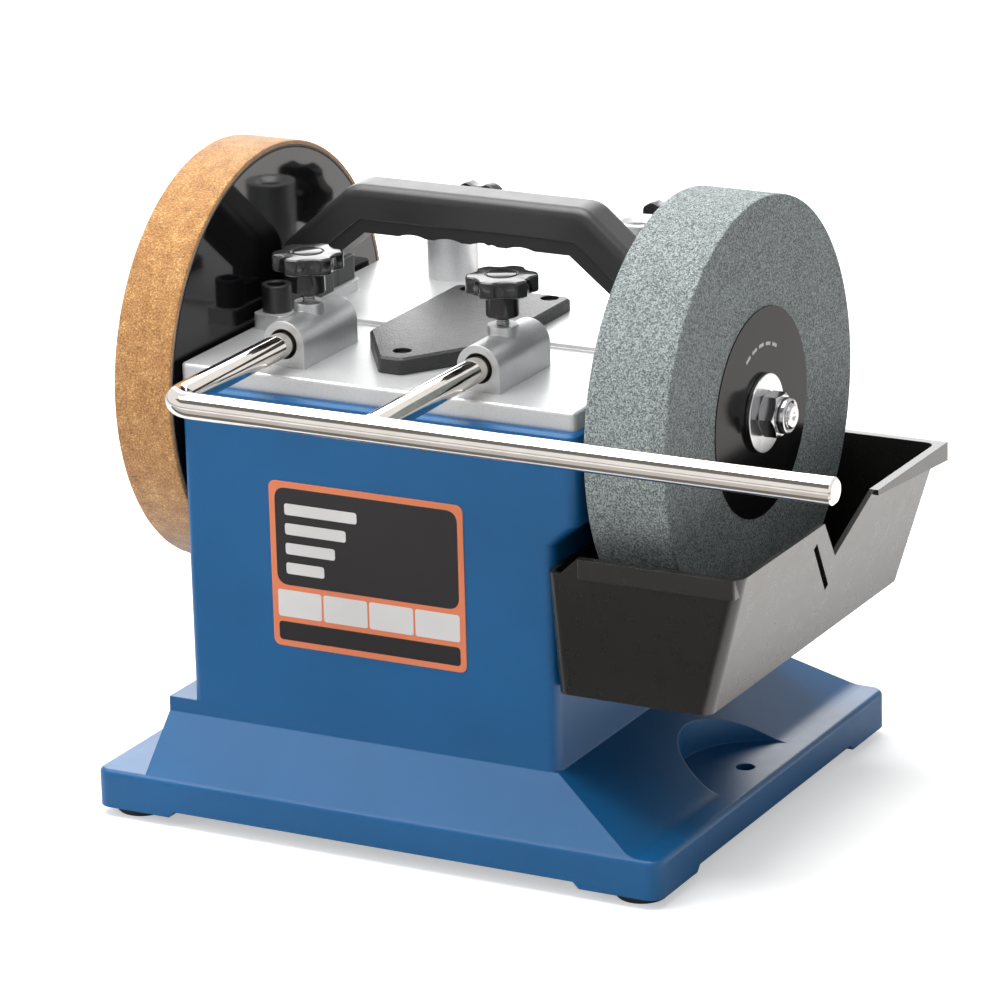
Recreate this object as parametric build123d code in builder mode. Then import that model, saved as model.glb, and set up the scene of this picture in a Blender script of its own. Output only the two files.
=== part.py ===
from build123d import *
import math
import os

# Water-cooled bench sharpener: a whetstone on the right that dips in a trough, a leather honing
# wheel on the left, a tool support bar in front and a carry handle on top.
# Millimetres. The origin lies on the bench, midway between the two bench-bolt holes.
# +X points to the stone, +Y to the back and +Z up.

# Clearances, each one a radial or one-sided gap
press_gap = 0.03
running_gap = 0.05
sliding_gap = 0.05
screw_gap = 0.2
touch_gap = 0.3
air_gap = 0.5

# Base flange and its feet
foot_height = 4.5
foot_diameter = 24.0
foot_inset = 16.0
foot_floor = 1.5
foot_chamfer = 0.8
foot_head_height = 2.2
flange_width = 295.0
flange_depth = 252.0
flange_height = 18.5
flange_corner = 7.0
flange_edge_radius = 2.5
flange_wall = 6.0
flange_skin = 4.0
relief_height = 3.0
relief_corner_pad = 40.0
bench_hole_diameter = 9.0
bench_hole_inset = 16.5
bench_boss_diameter = 22.0

# Skirt between the flange and the column
skirt_height = 24.5
skirt_front_run = 24.0
plinth_width = 12.9
plinth_lift = 7.0
plinth_lean = 0.4
flare_flat = 13.0
flare_cove = 4.0
scallop_radius = 37.0
scallop_inset = 10.0

# Column
column_width = 204.0
column_depth = 200.0
column_shift = -5.5
column_height = 161.0
column_wall = 3.5
column_corner = 5.0
column_rim_chamfer = 1.5
deck_thickness = 4.0
deck_ledge = 12.0
recess_depth = 11.5
recess_drop = 43.0
recess_slope = 10.0
shaft_slot_gap = 2.0

# Blank label plate on the front
label_width = 101.0
label_height = 80.0
label_thickness = 0.4
label_corner = 4.0
label_drop = 39.5

# Bottom cover
bottom_cover_thickness = 1.5
bottom_cover_lift = 4.5
bottom_cover_gap = 1.0
bottom_boss_diameter = 12.0
bottom_screw_spacing = 140.0

# Top plate
plate_thickness = 9.0
plate_inset = 5.0
plate_right_inset = 2.0
plate_corner = 3.0
plate_overhang = 2.0
plate_edge_radius = 1.5
rear_step = 2.0
rear_step_y = -4.0
pad_thickness = 16.5
pad_front_y = -32.0
pad_back_y = 43.0
pad_lift = 7.5
pad_corner = 3.0
axis_below_plate = 11.5
window_width = 18.0
window_length = 42.0
thread_depth = 6.0

# Drive centre line, which the sleeves and the cover share
drive_shift = -5.5

# Spindle and its bearings
spindle_diameter = 14.0
spindle_end_diameter = 12.0
spindle_chamfer = 0.8
bush_wall = 3.0
bush_flange = 2.5
bush_flange_rise = 1.2
block_width = 22.0
block_depth = 60.0
block_height = 26.0
block_inset = 13.5
block_bolt_spacing = 44.0

# Stone and what clamps it
stone_diameter = 200.0
stone_width = 40.0
stone_gap = 4.5
stone_bore_gap = 0.1
stone_edge_chamfer = 0.8
stone_label_diameter = 98.0
stone_label_thickness = 0.5
clamp_diameter = 37.0
clamp_thickness = 2.5
nut_across_flats = 19.0
nut_hex_height = 8.0
nut_collar_height = 4.0
nut_collar_diameter = 17.0
thread_run_out = 1.5

# Honing wheel
honing_diameter = 203.0
honing_width = 30.0
honing_gap = 4.5
leather_thickness = 3.0
honing_recess_diameter = 44.0
honing_recess_depth = 14.0
honing_dish_depth = 3.0
honing_rim_width = 12.0
honing_hub_width = 12.0
honing_washer_thickness = 2.0

# Worm drive
gear_module = 1.5
gear_teeth = 24
gear_face = 8.0
gear_hub_diameter = 22.0
gear_hub_length = 30.0
gear_backlash = 0.18
worm_starts = 2
worm_pitch_radius = 9.0
worm_length = 22.0
worm_collar = 6.0
pressure_angle = 20.0
gear_root_share = 1.2
thread_sink = 0.4

# Motor and its bracket
bracket_drop = 45.0
bracket_thickness = 4.0
bracket_half_width = 38.0
bracket_front = 45.0
bracket_back = 45.0
bracket_hole_diameter = 20.0
bracket_tab = 12.0
bracket_tab_length = 50.0
bracket_bolt_spacing = 34.0
motor_diameter = 104.0
motor_wall = 2.0
motor_length = 84.0
bell_thickness = 8.0
motor_screw_circle = 64.0
stator_bore = 56.0
stator_length = 46.0
winding_bulge = 11.0
winding_thickness = 14.0
winding_radius = 4.0
rotor_margin = 2.0
rotor_shaft_diameter = 12.0
worm_seat_diameter = 10.0
bearing_outer = 28.0
bell_hole_radius = 5.0
bell_hole_count = 6
bell_hole_circle = 74.0

# Capacitor and its clip
capacitor_diameter = 34.0
capacitor_length = 70.0
capacitor_lift = 12.5
capacitor_y = 56.0
clip_thickness = 1.5
clip_width = 16.0
clip_mouth_angle = 70.0

# Tool support bar and its sleeves
rod_diameter = 12.0
rod_chamfer = 1.0
bar_reach = 183.0
bar_overhang = 120.0
bar_bend_radius = 12.0
leg_short_of_sleeve = 3.0
weld_neck_inset = 0.4
weld_neck_length = 8.5
sleeve_spacing = 101.0
sleeve_width = 21.5
sleeve_length = 50.0
sleeve_front_inset = 13.0
sleeve_axis_lift = 11.0
sleeve_boss_diameter = 14.2
sleeve_boss_lift = 3.4
sleeve_mouth_chamfer = 1.0
sleeve_web = 1.0

# Upright sleeves at the back
post_sleeve_diameter = 24.5
post_sleeve_height = 37.5
post_inset = 13.0
post_bore_depth = 33.0
post_mouth_chamfer = 2.5
post_lock_drop = 13.5
post_boss_reach = 0.5
post_lock_bare = 1.6

# Lock knobs and their screws
lock_screw_diameter = 6.0
lock_screw_bare = 4.2
lock_screw_chamfer = 0.6
knob_hub_diameter = 15.4
knob_hub_height = 11.2
knob_diameter = 33.0
knob_thickness = 8.0
knob_lobes = 6
knob_scallop_radius = 9.0
knob_scallop_depth = 2.4
knob_cap_diameter = 14.0
knob_cap_height = 0.6
knob_edge_radius = 1.2
knob_thread_depth = 9.0

# Access cover over the drive
access_cover_half_width = 31.0
access_cover_nose_half = 6.0
access_cover_nose_y = -73.0
access_cover_shoulder_y = -36.0
access_cover_back_y = 50.0
access_cover_thickness = 8.0
access_cover_chamfer = 1.2
access_cover_corner = 4.0
access_cover_nose_screw_y = -61.0
access_cover_rear_screw_y = 44.0
access_cover_screw_half = 21.7
access_cover_recess_depth = 4.5
access_cover_recess_diameter = 8.8

# Carry handle
handle_width = 23.0
handle_y = 5.5
grip_height = 60.0
grip_half_length = 61.0
shoulder_height = 26.0
underside_height = 37.5
underside_half_length = 53.75
inner_shoulder_height = 13.0
grip_strip = 6.5
grip_strip_inset = 0.5
handle_bend_radius = 14.0
handle_edge_radius = 5.0
finger_waves = 4
finger_pitch = 19.0
finger_radius = 20.0
finger_depth = 1.3
handle_socket_diameter = 14.0
handle_socket_height = 13.0
handle_socket_y = -22.5
handle_block_front_y = 24.0
handle_block_height = 11.5
handle_block_inset = 2.25
handle_foot_inset = 2.5
handle_foot_height = 9.0
handle_screw_floor = 5.0

# Water trough
trough_floor = 2.5
trough_wall = 2.5
trough_stone_gap = 6.5
trough_rim_drop = 41.0
trough_half_length = 111.0
trough_end_draft = 6.5
trough_outer_reach = 42.0
trough_outer_draft = 19.5
trough_column_gap = 0.4
trough_inner_draft = 1.6
trough_corner = 6.0
trough_lip_height = 9.0
trough_lip_thin = 2.5
trough_lip_reach = 2.0
trough_low_rim_drop = 9.0
trough_low_rim_width = 7.6
trough_ramp_run = 9.7
notch_front_y = -23.0
notch_back_y = 32.0
notch_low_y = 3.0
notch_depth = 24.0
slot_width = 3.2
slot_front_y = -27.0
slot_back_y = 3.5
slot_upper_drop = 10.0
slot_lower_drop = 40.0
hook_spacing = 120.0
hook_width = 20.0
hook_thickness = 4.0
hook_drop = 4.0
hook_below_rim = 22.0
hook_slot_height = 12.0

# Switch and cable gland on the back
switch_shift = 50.0
switch_drop = 58.5
switch_bezel_width = 28.0
switch_bezel_height = 42.0
switch_bezel_thickness = 2.5
switch_body_depth = 24.0
switch_body_margin = 4.0
rocker_width = 16.4
rocker_height = 26.0
rocker_rise = 6.5
rocker_valley = 4.5
rocker_depth = 2.0
rocker_tip = 8.0
rocker_pivot_depth = 5.5
rocker_pocket_depth = 10.0
rocker_taper = 1.0
rocker_pin_diameter = 3.0
rocker_pin_length = 1.5
rocker_room = 1.4
gland_shift = 65.5
gland_lift = 28.5
gland_diameter = 16.0
gland_flange = 4.0
gland_flange_thickness = 3.0
gland_nose_length = 14.0
gland_bore = 8.0
gland_barb = 0.8
gland_barb_length = 5.0
gland_barb_taper = 6.0

# Fasteners: shank diameter, head diameter, head height and hexagon socket
m4_shank = 4.0
m4_head = 7.0
m4_head_height = 3.0
m5_shank = 5.0
m5_head = 8.5
m5_head_height = 3.5
m6_shank = 6.0
m6_head = 10.0
m6_head_height = 4.0
socket_share = 0.5

# Levels
flange_bottom = foot_height
flange_top = flange_bottom + flange_height
pocket_z = flange_top - flange_skin
crease_z = flange_top + skirt_height
plinth_z = crease_z + plinth_lift
plate_bottom = crease_z + column_height
plate_top = plate_bottom + plate_thickness
rear_top = plate_top + rear_step
pad_top = plate_top + pad_lift
shaft_z = plate_bottom - axis_below_plate
deck_bottom = plate_bottom - deck_thickness
recess_top_z = plate_bottom - recess_drop
recess_low_z = recess_top_z - recess_slope
rod_z = plate_top + sleeve_axis_lift
sleeve_boss_top = rod_z + sleeve_width / 2 + sleeve_boss_lift
post_top = rear_top + post_sleeve_height
post_lock_z = post_top - post_lock_drop

# Places along X
column_left = column_shift - column_width / 2
column_right = column_shift + column_width / 2
recess_x = column_right - recess_depth
plate_left = column_left
plate_right = column_right - plate_right_inset
plate_mid = (plate_left + plate_right) / 2
plate_half = (plate_right - plate_left) / 2
drive_x = column_shift + drive_shift
stone_inner = column_right + stone_gap
stone_outer = stone_inner + stone_width
stone_shoulder = stone_inner - stone_label_thickness - clamp_thickness
washer_outer = stone_outer + stone_label_thickness + clamp_thickness
nut_height = nut_hex_height + nut_collar_height
honing_inner = column_left - honing_gap
honing_outer = honing_inner - honing_width
honing_shoulder = honing_inner + honing_washer_thickness
honing_seat = honing_outer + honing_recess_depth
honing_nut_seat = honing_seat - honing_washer_thickness
sleeve_xs = [drive_x - sleeve_spacing / 2, drive_x + sleeve_spacing / 2]
bench_hole_xs = [-(flange_width / 2 - bench_hole_inset), flange_width / 2 - bench_hole_inset]
block_lefts = [column_left + block_inset, column_right - block_inset - block_width]

# Places along Y
column_half = column_depth / 2
plate_half_depth = column_half - plate_inset
sleeve_front = -plate_half_depth + sleeve_front_inset
sleeve_back = sleeve_front + sleeve_length
sleeve_mid_y = sleeve_front + sleeve_length / 2
post_y = plate_half_depth - post_inset
post_boss_back = post_y + post_sleeve_diameter / 2 + post_boss_reach
gear_radius = gear_module * gear_teeth / 2
worm_y = -(gear_radius + worm_pitch_radius)

# Radii
spindle_r = spindle_diameter / 2
spindle_end_r = spindle_end_diameter / 2
stone_r = stone_diameter / 2
honing_r = honing_diameter / 2
honing_core_r = honing_r - leather_thickness
bush_r = spindle_r + running_gap + bush_wall
rod_r = rod_diameter / 2
bore_r = rod_r + sliding_gap
lock_r = lock_screw_diameter / 2
rotor_shaft_r = rotor_shaft_diameter / 2

os.makedirs("parts", exist_ok=True)


def save(piece, name):
    """Label a finished piece and write its STEP file."""
    piece.label = name
    export_step(piece, f"parts/{name}.step")


def bounded_rectangle(x0, x1, y0, y1, radius):
    """A rounded rectangle between two X and two Y bounds, drawn in the sketch that is open."""
    with Locations(((x0 + x1) / 2, (y0 + y1) / 2)):
        RectangleRounded(x1 - x0, y1 - y0, radius)


def across(x, y, z):
    """A plane square to X at a point, whose own axes run along +Y and +Z."""
    return Plane(origin=(x, y, z), x_dir=(0, 1, 0), z_dir=(1, 0, 0))


def cap_screw(shank, length, head, head_height):
    """A socket screw: its head stands on the XY plane and its shank points down."""
    with BuildPart() as screw:
        with BuildSketch(Plane.XY):
            Circle(head / 2)
        extrude(amount=head_height)
        with BuildSketch(Plane.XY):
            Circle(shank / 2)
        extrude(amount=-length)
        with BuildSketch(Plane.XY.offset(head_height)):
            RegularPolygon(shank * socket_share, 6)
        extrude(amount=-head_height / 2, mode=Mode.SUBTRACT)
    return screw.part


def screw_group(screw, points, turned=False):
    """Copies of one screw at several points, turned to point up where asked."""
    turn = (180, 0, 0) if turned else (0, 0, 0)
    with BuildPart() as group:
        with Locations(*[Location(point, turn) for point in points]):
            add(screw)
    return group.part


def from_below(points, z):
    """Places for holes that are drilled upwards from a level."""
    return [Location((x, y, z), (180, 0, 0)) for x, y in points]


# Screw places that two or more pieces share
foot_points = [
    (sx * (flange_width / 2 - foot_inset), sy * (flange_depth / 2 - foot_inset))
    for sx in (-1, 1)
    for sy in (-1, 1)
]
bottom_cover_bottom = flange_bottom + bottom_cover_lift
bottom_cover_top = bottom_cover_bottom + bottom_cover_thickness
bottom_screw_y = (column_half - column_wall + flange_depth / 2 - flange_wall) / 2
bottom_points = [
    (sx * bottom_screw_spacing / 2, sy * bottom_screw_y) for sx in (-1, 1) for sy in (-1, 1)
]
deck_open_y = column_half - deck_ledge
plate_screw_y = (deck_open_y + plate_half_depth) / 2
plate_screw_points = [
    (x, sy * plate_screw_y)
    for x in (column_left + 2 * deck_ledge, column_right - 2 * deck_ledge)
    for sy in (-1, 1)
]
tool_sleeve_screw_ys = [sleeve_front + sleeve_width / 2, sleeve_back - sleeve_width / 2]
tool_sleeve_points = [(x, y) for x in sleeve_xs for y in tool_sleeve_screw_ys]
sleeve_thread = sleeve_axis_lift - bore_r - sleeve_web
post_screw_circle = (post_sleeve_diameter / 2 + bore_r) / 2
post_points = [(x + side * post_screw_circle, post_y) for x in sleeve_xs for side in (-1, 1)]
block_points = [
    (x + block_width / 2, sy * block_bolt_spacing / 2) for x in block_lefts for sy in (-1, 1)
]
bracket_tab_x = bracket_half_width - bracket_thickness - bracket_tab / 2
bracket_tab_mid = worm_y - bracket_front + bracket_tab_length / 2
bracket_points = [
    (drive_x + sx * bracket_tab_x, bracket_tab_mid + sy * bracket_bolt_spacing / 2)
    for sx in (-1, 1)
    for sy in (-1, 1)
]
access_points = [
    (drive_x, access_cover_nose_screw_y),
    (drive_x - access_cover_screw_half, access_cover_rear_screw_y),
    (drive_x + access_cover_screw_half, access_cover_rear_screw_y),
]
handle_block_y = (handle_block_front_y + pad_back_y) / 2
handle_points = [
    (plate_mid + side * (plate_half - pad_thickness / 2), y)
    for side in (-1, 1)
    for y in (handle_socket_y, handle_block_y)
]
switch_x = column_shift + switch_shift
switch_z = plate_bottom - switch_drop
gland_x = column_shift + gland_shift
gland_z = crease_z + gland_lift

# Base flange, a separate block that the housing takes in
with BuildPart() as base_flange:
    with BuildSketch(Plane.XY.offset(flange_bottom)):
        RectangleRounded(flange_width, flange_depth, flange_corner)
    extrude(amount=flange_height)
    fillet(base_flange.edges().group_by(Axis.Z)[-1], flange_edge_radius)

# Housing: flange, skirt and column in one hollow casting
skirt_foot_z = flange_top - flange_edge_radius
flare_foot_x = flange_width / 2 - flange_edge_radius - flare_flat
flare_angle = math.atan2(crease_z - flange_top, flare_foot_x - recess_x)
flare_foot_radius = flare_cove / math.tan(flare_angle / 2)
with BuildPart() as housing:
    # Skirt profile: a plinth on the left and a coved slope on the right
    with BuildSketch(Plane.XZ) as skirt_profile:
        with BuildLine():
            Polyline(
                (column_left - plinth_width - plinth_lean, skirt_foot_z),
                (column_left - plinth_width, plinth_z),
                (column_left + column_corner, plinth_z),
                (column_left + column_corner, crease_z),
                (recess_x, crease_z),
                (flare_foot_x, flange_top),
                (flange_width / 2 - flange_edge_radius, flange_top),
                (flange_width / 2 - flange_edge_radius, skirt_foot_z),
                close=True,
            )
        make_face()
        fillet(
            skirt_profile.vertices().sort_by_distance((flare_foot_x, flange_top))[0],
            flare_foot_radius,
        )
    extrude(amount=flange_depth / 2, both=True)
    # Front and back of the skirt stand with the column, then slope down to the edges of the flange
    slope = skirt_front_run / skirt_height
    high = plinth_z + plinth_lift
    for side in (-1, 1):
        with BuildSketch(Plane.YZ):
            with BuildLine():
                Polyline(
                    (side * (column_half + slope * (crease_z - skirt_foot_z)), skirt_foot_z),
                    (side * column_half, crease_z),
                    (side * column_half, high),
                    (side * flange_depth, high),
                    (side * flange_depth, skirt_foot_z),
                    close=True,
                )
            make_face()
        extrude(amount=flange_width, both=True, mode=Mode.SUBTRACT)
    # The corners of the skirt follow the round corners of the flange
    with BuildSketch(Plane.XY.offset(skirt_foot_z)):
        RectangleRounded(flange_width - 2 * flange_edge_radius, flange_depth, flange_corner)
    extrude(amount=high - skirt_foot_z, mode=Mode.INTERSECT)
    add(base_flange.part)
    # Column: a narrow lower part, a slope, and a wide upper part
    with BuildSketch(Plane.XY.offset(pocket_z)):
        bounded_rectangle(column_left, recess_x, -column_half, column_half, column_corner)
    extrude(amount=recess_low_z - pocket_z)
    with BuildSketch(Plane.XY.offset(recess_low_z)):
        bounded_rectangle(column_left, recess_x, -column_half, column_half, column_corner)
    with BuildSketch(Plane.XY.offset(recess_top_z)):
        bounded_rectangle(column_left, column_right, -column_half, column_half, column_corner)
    loft(ruled=True)
    with BuildSketch(Plane.XY.offset(recess_top_z)):
        bounded_rectangle(column_left, column_right, -column_half, column_half, column_corner)
    extrude(amount=plate_bottom - recess_top_z)
    chamfer(housing.edges().group_by(Axis.Z)[-1], column_rim_chamfer)
    # Hollow inside, with the same steps as the outside
    inner_left = column_left + column_wall
    inner_right = column_right - column_wall
    inner_recess = recess_x - column_wall
    inner_half = column_half - column_wall
    inner_corner = column_corner - column_wall / 2
    with BuildSketch(Plane.XY.offset(pocket_z)):
        bounded_rectangle(inner_left, inner_recess, -inner_half, inner_half, inner_corner)
    extrude(amount=recess_low_z - pocket_z, mode=Mode.SUBTRACT)
    with BuildSketch(Plane.XY.offset(recess_low_z)):
        bounded_rectangle(inner_left, inner_recess, -inner_half, inner_half, inner_corner)
    with BuildSketch(Plane.XY.offset(recess_top_z)):
        bounded_rectangle(inner_left, inner_right, -inner_half, inner_half, inner_corner)
    loft(ruled=True, mode=Mode.SUBTRACT)
    with BuildSketch(Plane.XY.offset(recess_top_z)):
        bounded_rectangle(inner_left, inner_right, -inner_half, inner_half, inner_corner)
    extrude(amount=deck_bottom - recess_top_z, mode=Mode.SUBTRACT)
    # Opening in the deck for the drive that hangs from the top plate
    with BuildSketch(Plane.XY.offset(deck_bottom)):
        bounded_rectangle(
            column_left + deck_ledge, column_right - deck_ledge, -deck_open_y, deck_open_y, column_corner
        )
    extrude(amount=deck_thickness, mode=Mode.SUBTRACT)
    # Hollow of the plinth
    with BuildSketch(Plane.XY.offset(pocket_z)):
        bounded_rectangle(
            column_left - plinth_width + column_wall,
            inner_left,
            -(inner_half - column_wall),
            inner_half - column_wall,
            column_wall,
        )
    extrude(amount=plinth_z - column_wall - pocket_z, mode=Mode.SUBTRACT)
    # Hollow underside of the flange, below and above the bottom cover
    foot_block = 2 * (foot_inset - flange_wall)
    with BuildSketch(Plane.XY.offset(flange_bottom)):
        Rectangle(flange_width - 2 * flange_wall, flange_depth - 2 * flange_wall)
        with Locations(*foot_points):
            Rectangle(foot_block, foot_block, mode=Mode.SUBTRACT)
        with Locations(*[(x, 0) for x in bench_hole_xs]):
            Circle(bench_boss_diameter / 2, mode=Mode.SUBTRACT)
    extrude(amount=bottom_cover_top - flange_bottom, mode=Mode.SUBTRACT)
    with BuildSketch(Plane.XY.offset(bottom_cover_top)):
        Rectangle(flange_width - 2 * flange_wall, flange_depth - 2 * flange_wall)
        with Locations(*foot_points):
            Rectangle(foot_block, foot_block, mode=Mode.SUBTRACT)
        with Locations(*[(x, 0) for x in bench_hole_xs]):
            Circle(bench_boss_diameter / 2, mode=Mode.SUBTRACT)
        with Locations(*bottom_points):
            Circle(bottom_boss_diameter / 2, mode=Mode.SUBTRACT)
    extrude(amount=pocket_z - bottom_cover_top, mode=Mode.SUBTRACT)
    # Relief of the lower edge between the corners, with slanted ends
    for plane, span in ((Plane.XZ, flange_width), (Plane.YZ, flange_depth)):
        half = span / 2 - relief_corner_pad
        with BuildSketch(plane):
            with BuildLine():
                Polyline(
                    (-half, flange_bottom),
                    (-half + relief_height, flange_bottom + relief_height),
                    (half - relief_height, flange_bottom + relief_height),
                    (half, flange_bottom),
                    close=True,
                )
            make_face()
        extrude(amount=flange_width, both=True, mode=Mode.SUBTRACT)
    # Scallop that makes room for the right bench bolt, and both bolt holes
    with BuildSketch(Plane.XY.offset(flange_top)):
        with Locations((flange_width / 2 - scallop_inset, 0)):
            Circle(scallop_radius)
    extrude(amount=skirt_height, mode=Mode.SUBTRACT)
    with BuildSketch(Plane.XY):
        with Locations(*[(x, 0) for x in bench_hole_xs]):
            Circle(bench_hole_diameter / 2)
    extrude(amount=crease_z - relief_height, mode=Mode.SUBTRACT)
    # Slots for the spindle, open at the top
    with BuildSketch(across(column_shift, 0, shaft_z)):
        Circle(spindle_r + shaft_slot_gap)
        with Locations((0, axis_below_plate / 2)):
            Rectangle(2 * (spindle_r + shaft_slot_gap), axis_below_plate)
    extrude(amount=column_width, both=True, mode=Mode.SUBTRACT)
    # Slots for the hooks of the trough
    hook_z = shaft_z - trough_rim_drop - hook_below_rim
    with BuildSketch(across(inner_recess - column_wall, 0, hook_z + hook_slot_height / 2)):
        with GridLocations(hook_spacing, 0, 2, 1):
            Rectangle(hook_width + 2 * touch_gap, hook_slot_height)
    extrude(amount=3 * column_wall, mode=Mode.SUBTRACT)
    # Openings in the back wall for the switch and the cable gland
    switch_body_width = switch_bezel_width - switch_body_margin
    switch_body_height = switch_bezel_height - switch_body_margin
    with BuildSketch(Plane.XZ.offset(-inner_half)):
        with Locations((switch_x, switch_z)):
            Rectangle(switch_body_width + 2 * screw_gap, switch_body_height + 2 * screw_gap)
        with Locations((gland_x, gland_z)):
            Circle(gland_diameter / 2 + screw_gap)
    extrude(amount=-column_wall, mode=Mode.SUBTRACT)
    # Screw holes: top plate, feet and bottom cover
    with BuildSketch(Plane.XY.offset(deck_bottom)):
        with Locations(*plate_screw_points):
            Circle(m5_shank / 2 + screw_gap)
    extrude(amount=deck_thickness, mode=Mode.SUBTRACT)
    with BuildSketch(Plane.XY.offset(flange_bottom)):
        with Locations(*foot_points):
            Circle(m5_shank / 2 + press_gap)
    extrude(amount=thread_depth + touch_gap, mode=Mode.SUBTRACT)
    with BuildSketch(Plane.XY.offset(bottom_cover_top)):
        with Locations(*bottom_points):
            Circle(m4_shank / 2 + press_gap)
    extrude(amount=thread_depth + touch_gap, mode=Mode.SUBTRACT)
save(housing.part, "housing")

# Bottom cover between the bench-bolt bosses, cut out round the feet
foot_cut = foot_block + 2 * bottom_cover_gap
with BuildPart() as bottom_cover:
    with BuildSketch(Plane.XY.offset(bottom_cover_bottom)):
        Rectangle(
            2 * (bench_hole_xs[1] - bench_boss_diameter / 2 - bottom_cover_gap),
            flange_depth - 2 * (flange_wall + bottom_cover_gap),
        )
        with Locations(*foot_points):
            Rectangle(foot_cut, foot_cut, mode=Mode.SUBTRACT)
        with Locations(*bottom_points):
            Circle(m4_shank / 2 + screw_gap, mode=Mode.SUBTRACT)
    extrude(amount=bottom_cover_thickness)
save(bottom_cover.part, "bottom_cover")

m4_cover = cap_screw(m4_shank, bottom_cover_thickness + thread_depth, m4_head, m4_head_height)
save(
    screw_group(m4_cover, [(x, y, bottom_cover_bottom) for x, y in bottom_points], turned=True),
    "bottom_cover_screws",
)

# Rubber feet with a recess for the screw head
with BuildPart() as rubber_feet:
    with BuildSketch(Plane.XY):
        with Locations(*foot_points):
            Circle(foot_diameter / 2)
    extrude(amount=foot_height)
    chamfer(rubber_feet.edges().group_by(Axis.Z)[0], foot_chamfer)
    with BuildSketch(Plane.XY):
        with Locations(*foot_points):
            Circle(m5_head / 2 + screw_gap)
    extrude(amount=foot_height - foot_floor, mode=Mode.SUBTRACT)
    with BuildSketch(Plane.XY):
        with Locations(*foot_points):
            Circle(m5_shank / 2 + screw_gap)
    extrude(amount=foot_height, mode=Mode.SUBTRACT)
save(rubber_feet.part, "rubber_feet")

m5_foot = cap_screw(m5_shank, foot_floor + thread_depth, m5_head, foot_head_height)
save(
    screw_group(m5_foot, [(x, y, foot_height - foot_floor) for x, y in foot_points], turned=True),
    "foot_screws",
)

# Blank label plate on the front of the column
with BuildPart() as front_label:
    with BuildSketch(Plane.XZ.offset(column_half)):
        with Locations((drive_x, plate_bottom - label_drop - label_height / 2)):
            RectangleRounded(label_width, label_height, label_corner)
    extrude(amount=label_thickness)
save(front_label.part, "front_label")

# Top plate: raised rear half, two pads for the handle and a window over the drive
with BuildPart() as top_plate:
    with BuildSketch(Plane.XY.offset(plate_bottom)):
        bounded_rectangle(
            plate_left - plate_overhang, plate_right, -plate_half_depth, plate_half_depth, plate_corner
        )
    extrude(amount=plate_thickness + rear_step)
    with BuildSketch(Plane.XY.offset(plate_top)):
        with Locations((plate_mid, rear_step_y - column_half)):
            Rectangle(2 * column_width, column_depth)
    extrude(amount=rear_step, mode=Mode.SUBTRACT)
    outline = top_plate.edges().filter_by_position(Axis.Z, plate_top, rear_top)
    step_edges = outline.filter_by_position(Axis.Y, rear_step_y - press_gap, rear_step_y + press_gap)
    fillet(outline - step_edges, plate_edge_radius)
    with BuildSketch(Plane.XY.offset(plate_top - plate_edge_radius)):
        bounded_rectangle(plate_left, plate_left + pad_thickness, pad_front_y, pad_back_y, pad_corner)
        bounded_rectangle(plate_right - pad_thickness, plate_right, pad_front_y, pad_back_y, pad_corner)
    extrude(amount=pad_lift + plate_edge_radius)
    with BuildSketch(Plane.XY.offset(plate_bottom)):
        with Locations((drive_x, 0)):
            Rectangle(window_width, window_length)
    extrude(amount=plate_thickness + rear_step, mode=Mode.SUBTRACT)
    with Locations(*[(x, y, rear_top) for x, y in tool_sleeve_points + post_points]):
        Hole(m4_shank / 2 + screw_gap, depth=plate_thickness + rear_step)
    with Locations(*[(x, y, rear_top) for x, y in access_points]):
        Hole(m4_shank / 2 + press_gap, depth=rear_step + thread_depth)
    with Locations(*[(x, y, pad_top) for x, y in handle_points]):
        Hole(m5_shank / 2 + press_gap, depth=pad_lift + thread_depth)
    with Locations(*from_below(plate_screw_points + bracket_points, plate_bottom)):
        Hole(m5_shank / 2 + press_gap, depth=thread_depth)
    with Locations(*from_below(block_points, plate_bottom)):
        Hole(m6_shank / 2 + press_gap, depth=thread_depth)
save(top_plate.part, "top_plate")

m5_plate = cap_screw(m5_shank, deck_thickness + thread_depth, m5_head, m5_head_height)
save(
    screw_group(m5_plate, [(x, y, deck_bottom) for x, y in plate_screw_points], turned=True),
    "plate_screws",
)


def tool_sleeve(x):
    """A saddle on the plate with a level bore along Y and a boss on top for its lock screw."""
    with BuildPart() as sleeve:
        with BuildSketch(Plane.XZ.offset(-sleeve_front)):
            with Locations((x, rod_z)):
                Circle(sleeve_width / 2)
            with Locations((x, rod_z - sleeve_axis_lift / 2)):
                Rectangle(sleeve_width, sleeve_axis_lift)
        extrude(amount=-sleeve_length)
        with BuildSketch(Plane.XY.offset(rod_z)):
            with Locations((x, sleeve_mid_y)):
                Circle(sleeve_boss_diameter / 2)
        extrude(amount=sleeve_width / 2 + sleeve_boss_lift)
        with BuildSketch(Plane.XZ.offset(-sleeve_front)):
            with Locations((x, rod_z)):
                Circle(bore_r)
        extrude(amount=-sleeve_length, mode=Mode.SUBTRACT)
        mouths = sleeve.edges().filter_by(GeomType.CIRCLE).filter_by_position(Axis.Z, rod_z, rod_z)
        bore_edges = mouths.filter_by(lambda edge: edge.radius < bore_r + sleeve_mouth_chamfer)
        chamfer(bore_edges, sleeve_mouth_chamfer)
        with Locations((x, sleeve_mid_y, sleeve_boss_top)):
            Hole(lock_r + running_gap, depth=sleeve_boss_top - rod_z)
        with Locations(*from_below([(x, y) for y in tool_sleeve_screw_ys], plate_top)):
            Hole(m4_shank / 2 + press_gap, depth=sleeve_thread)
    return sleeve.part


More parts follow.
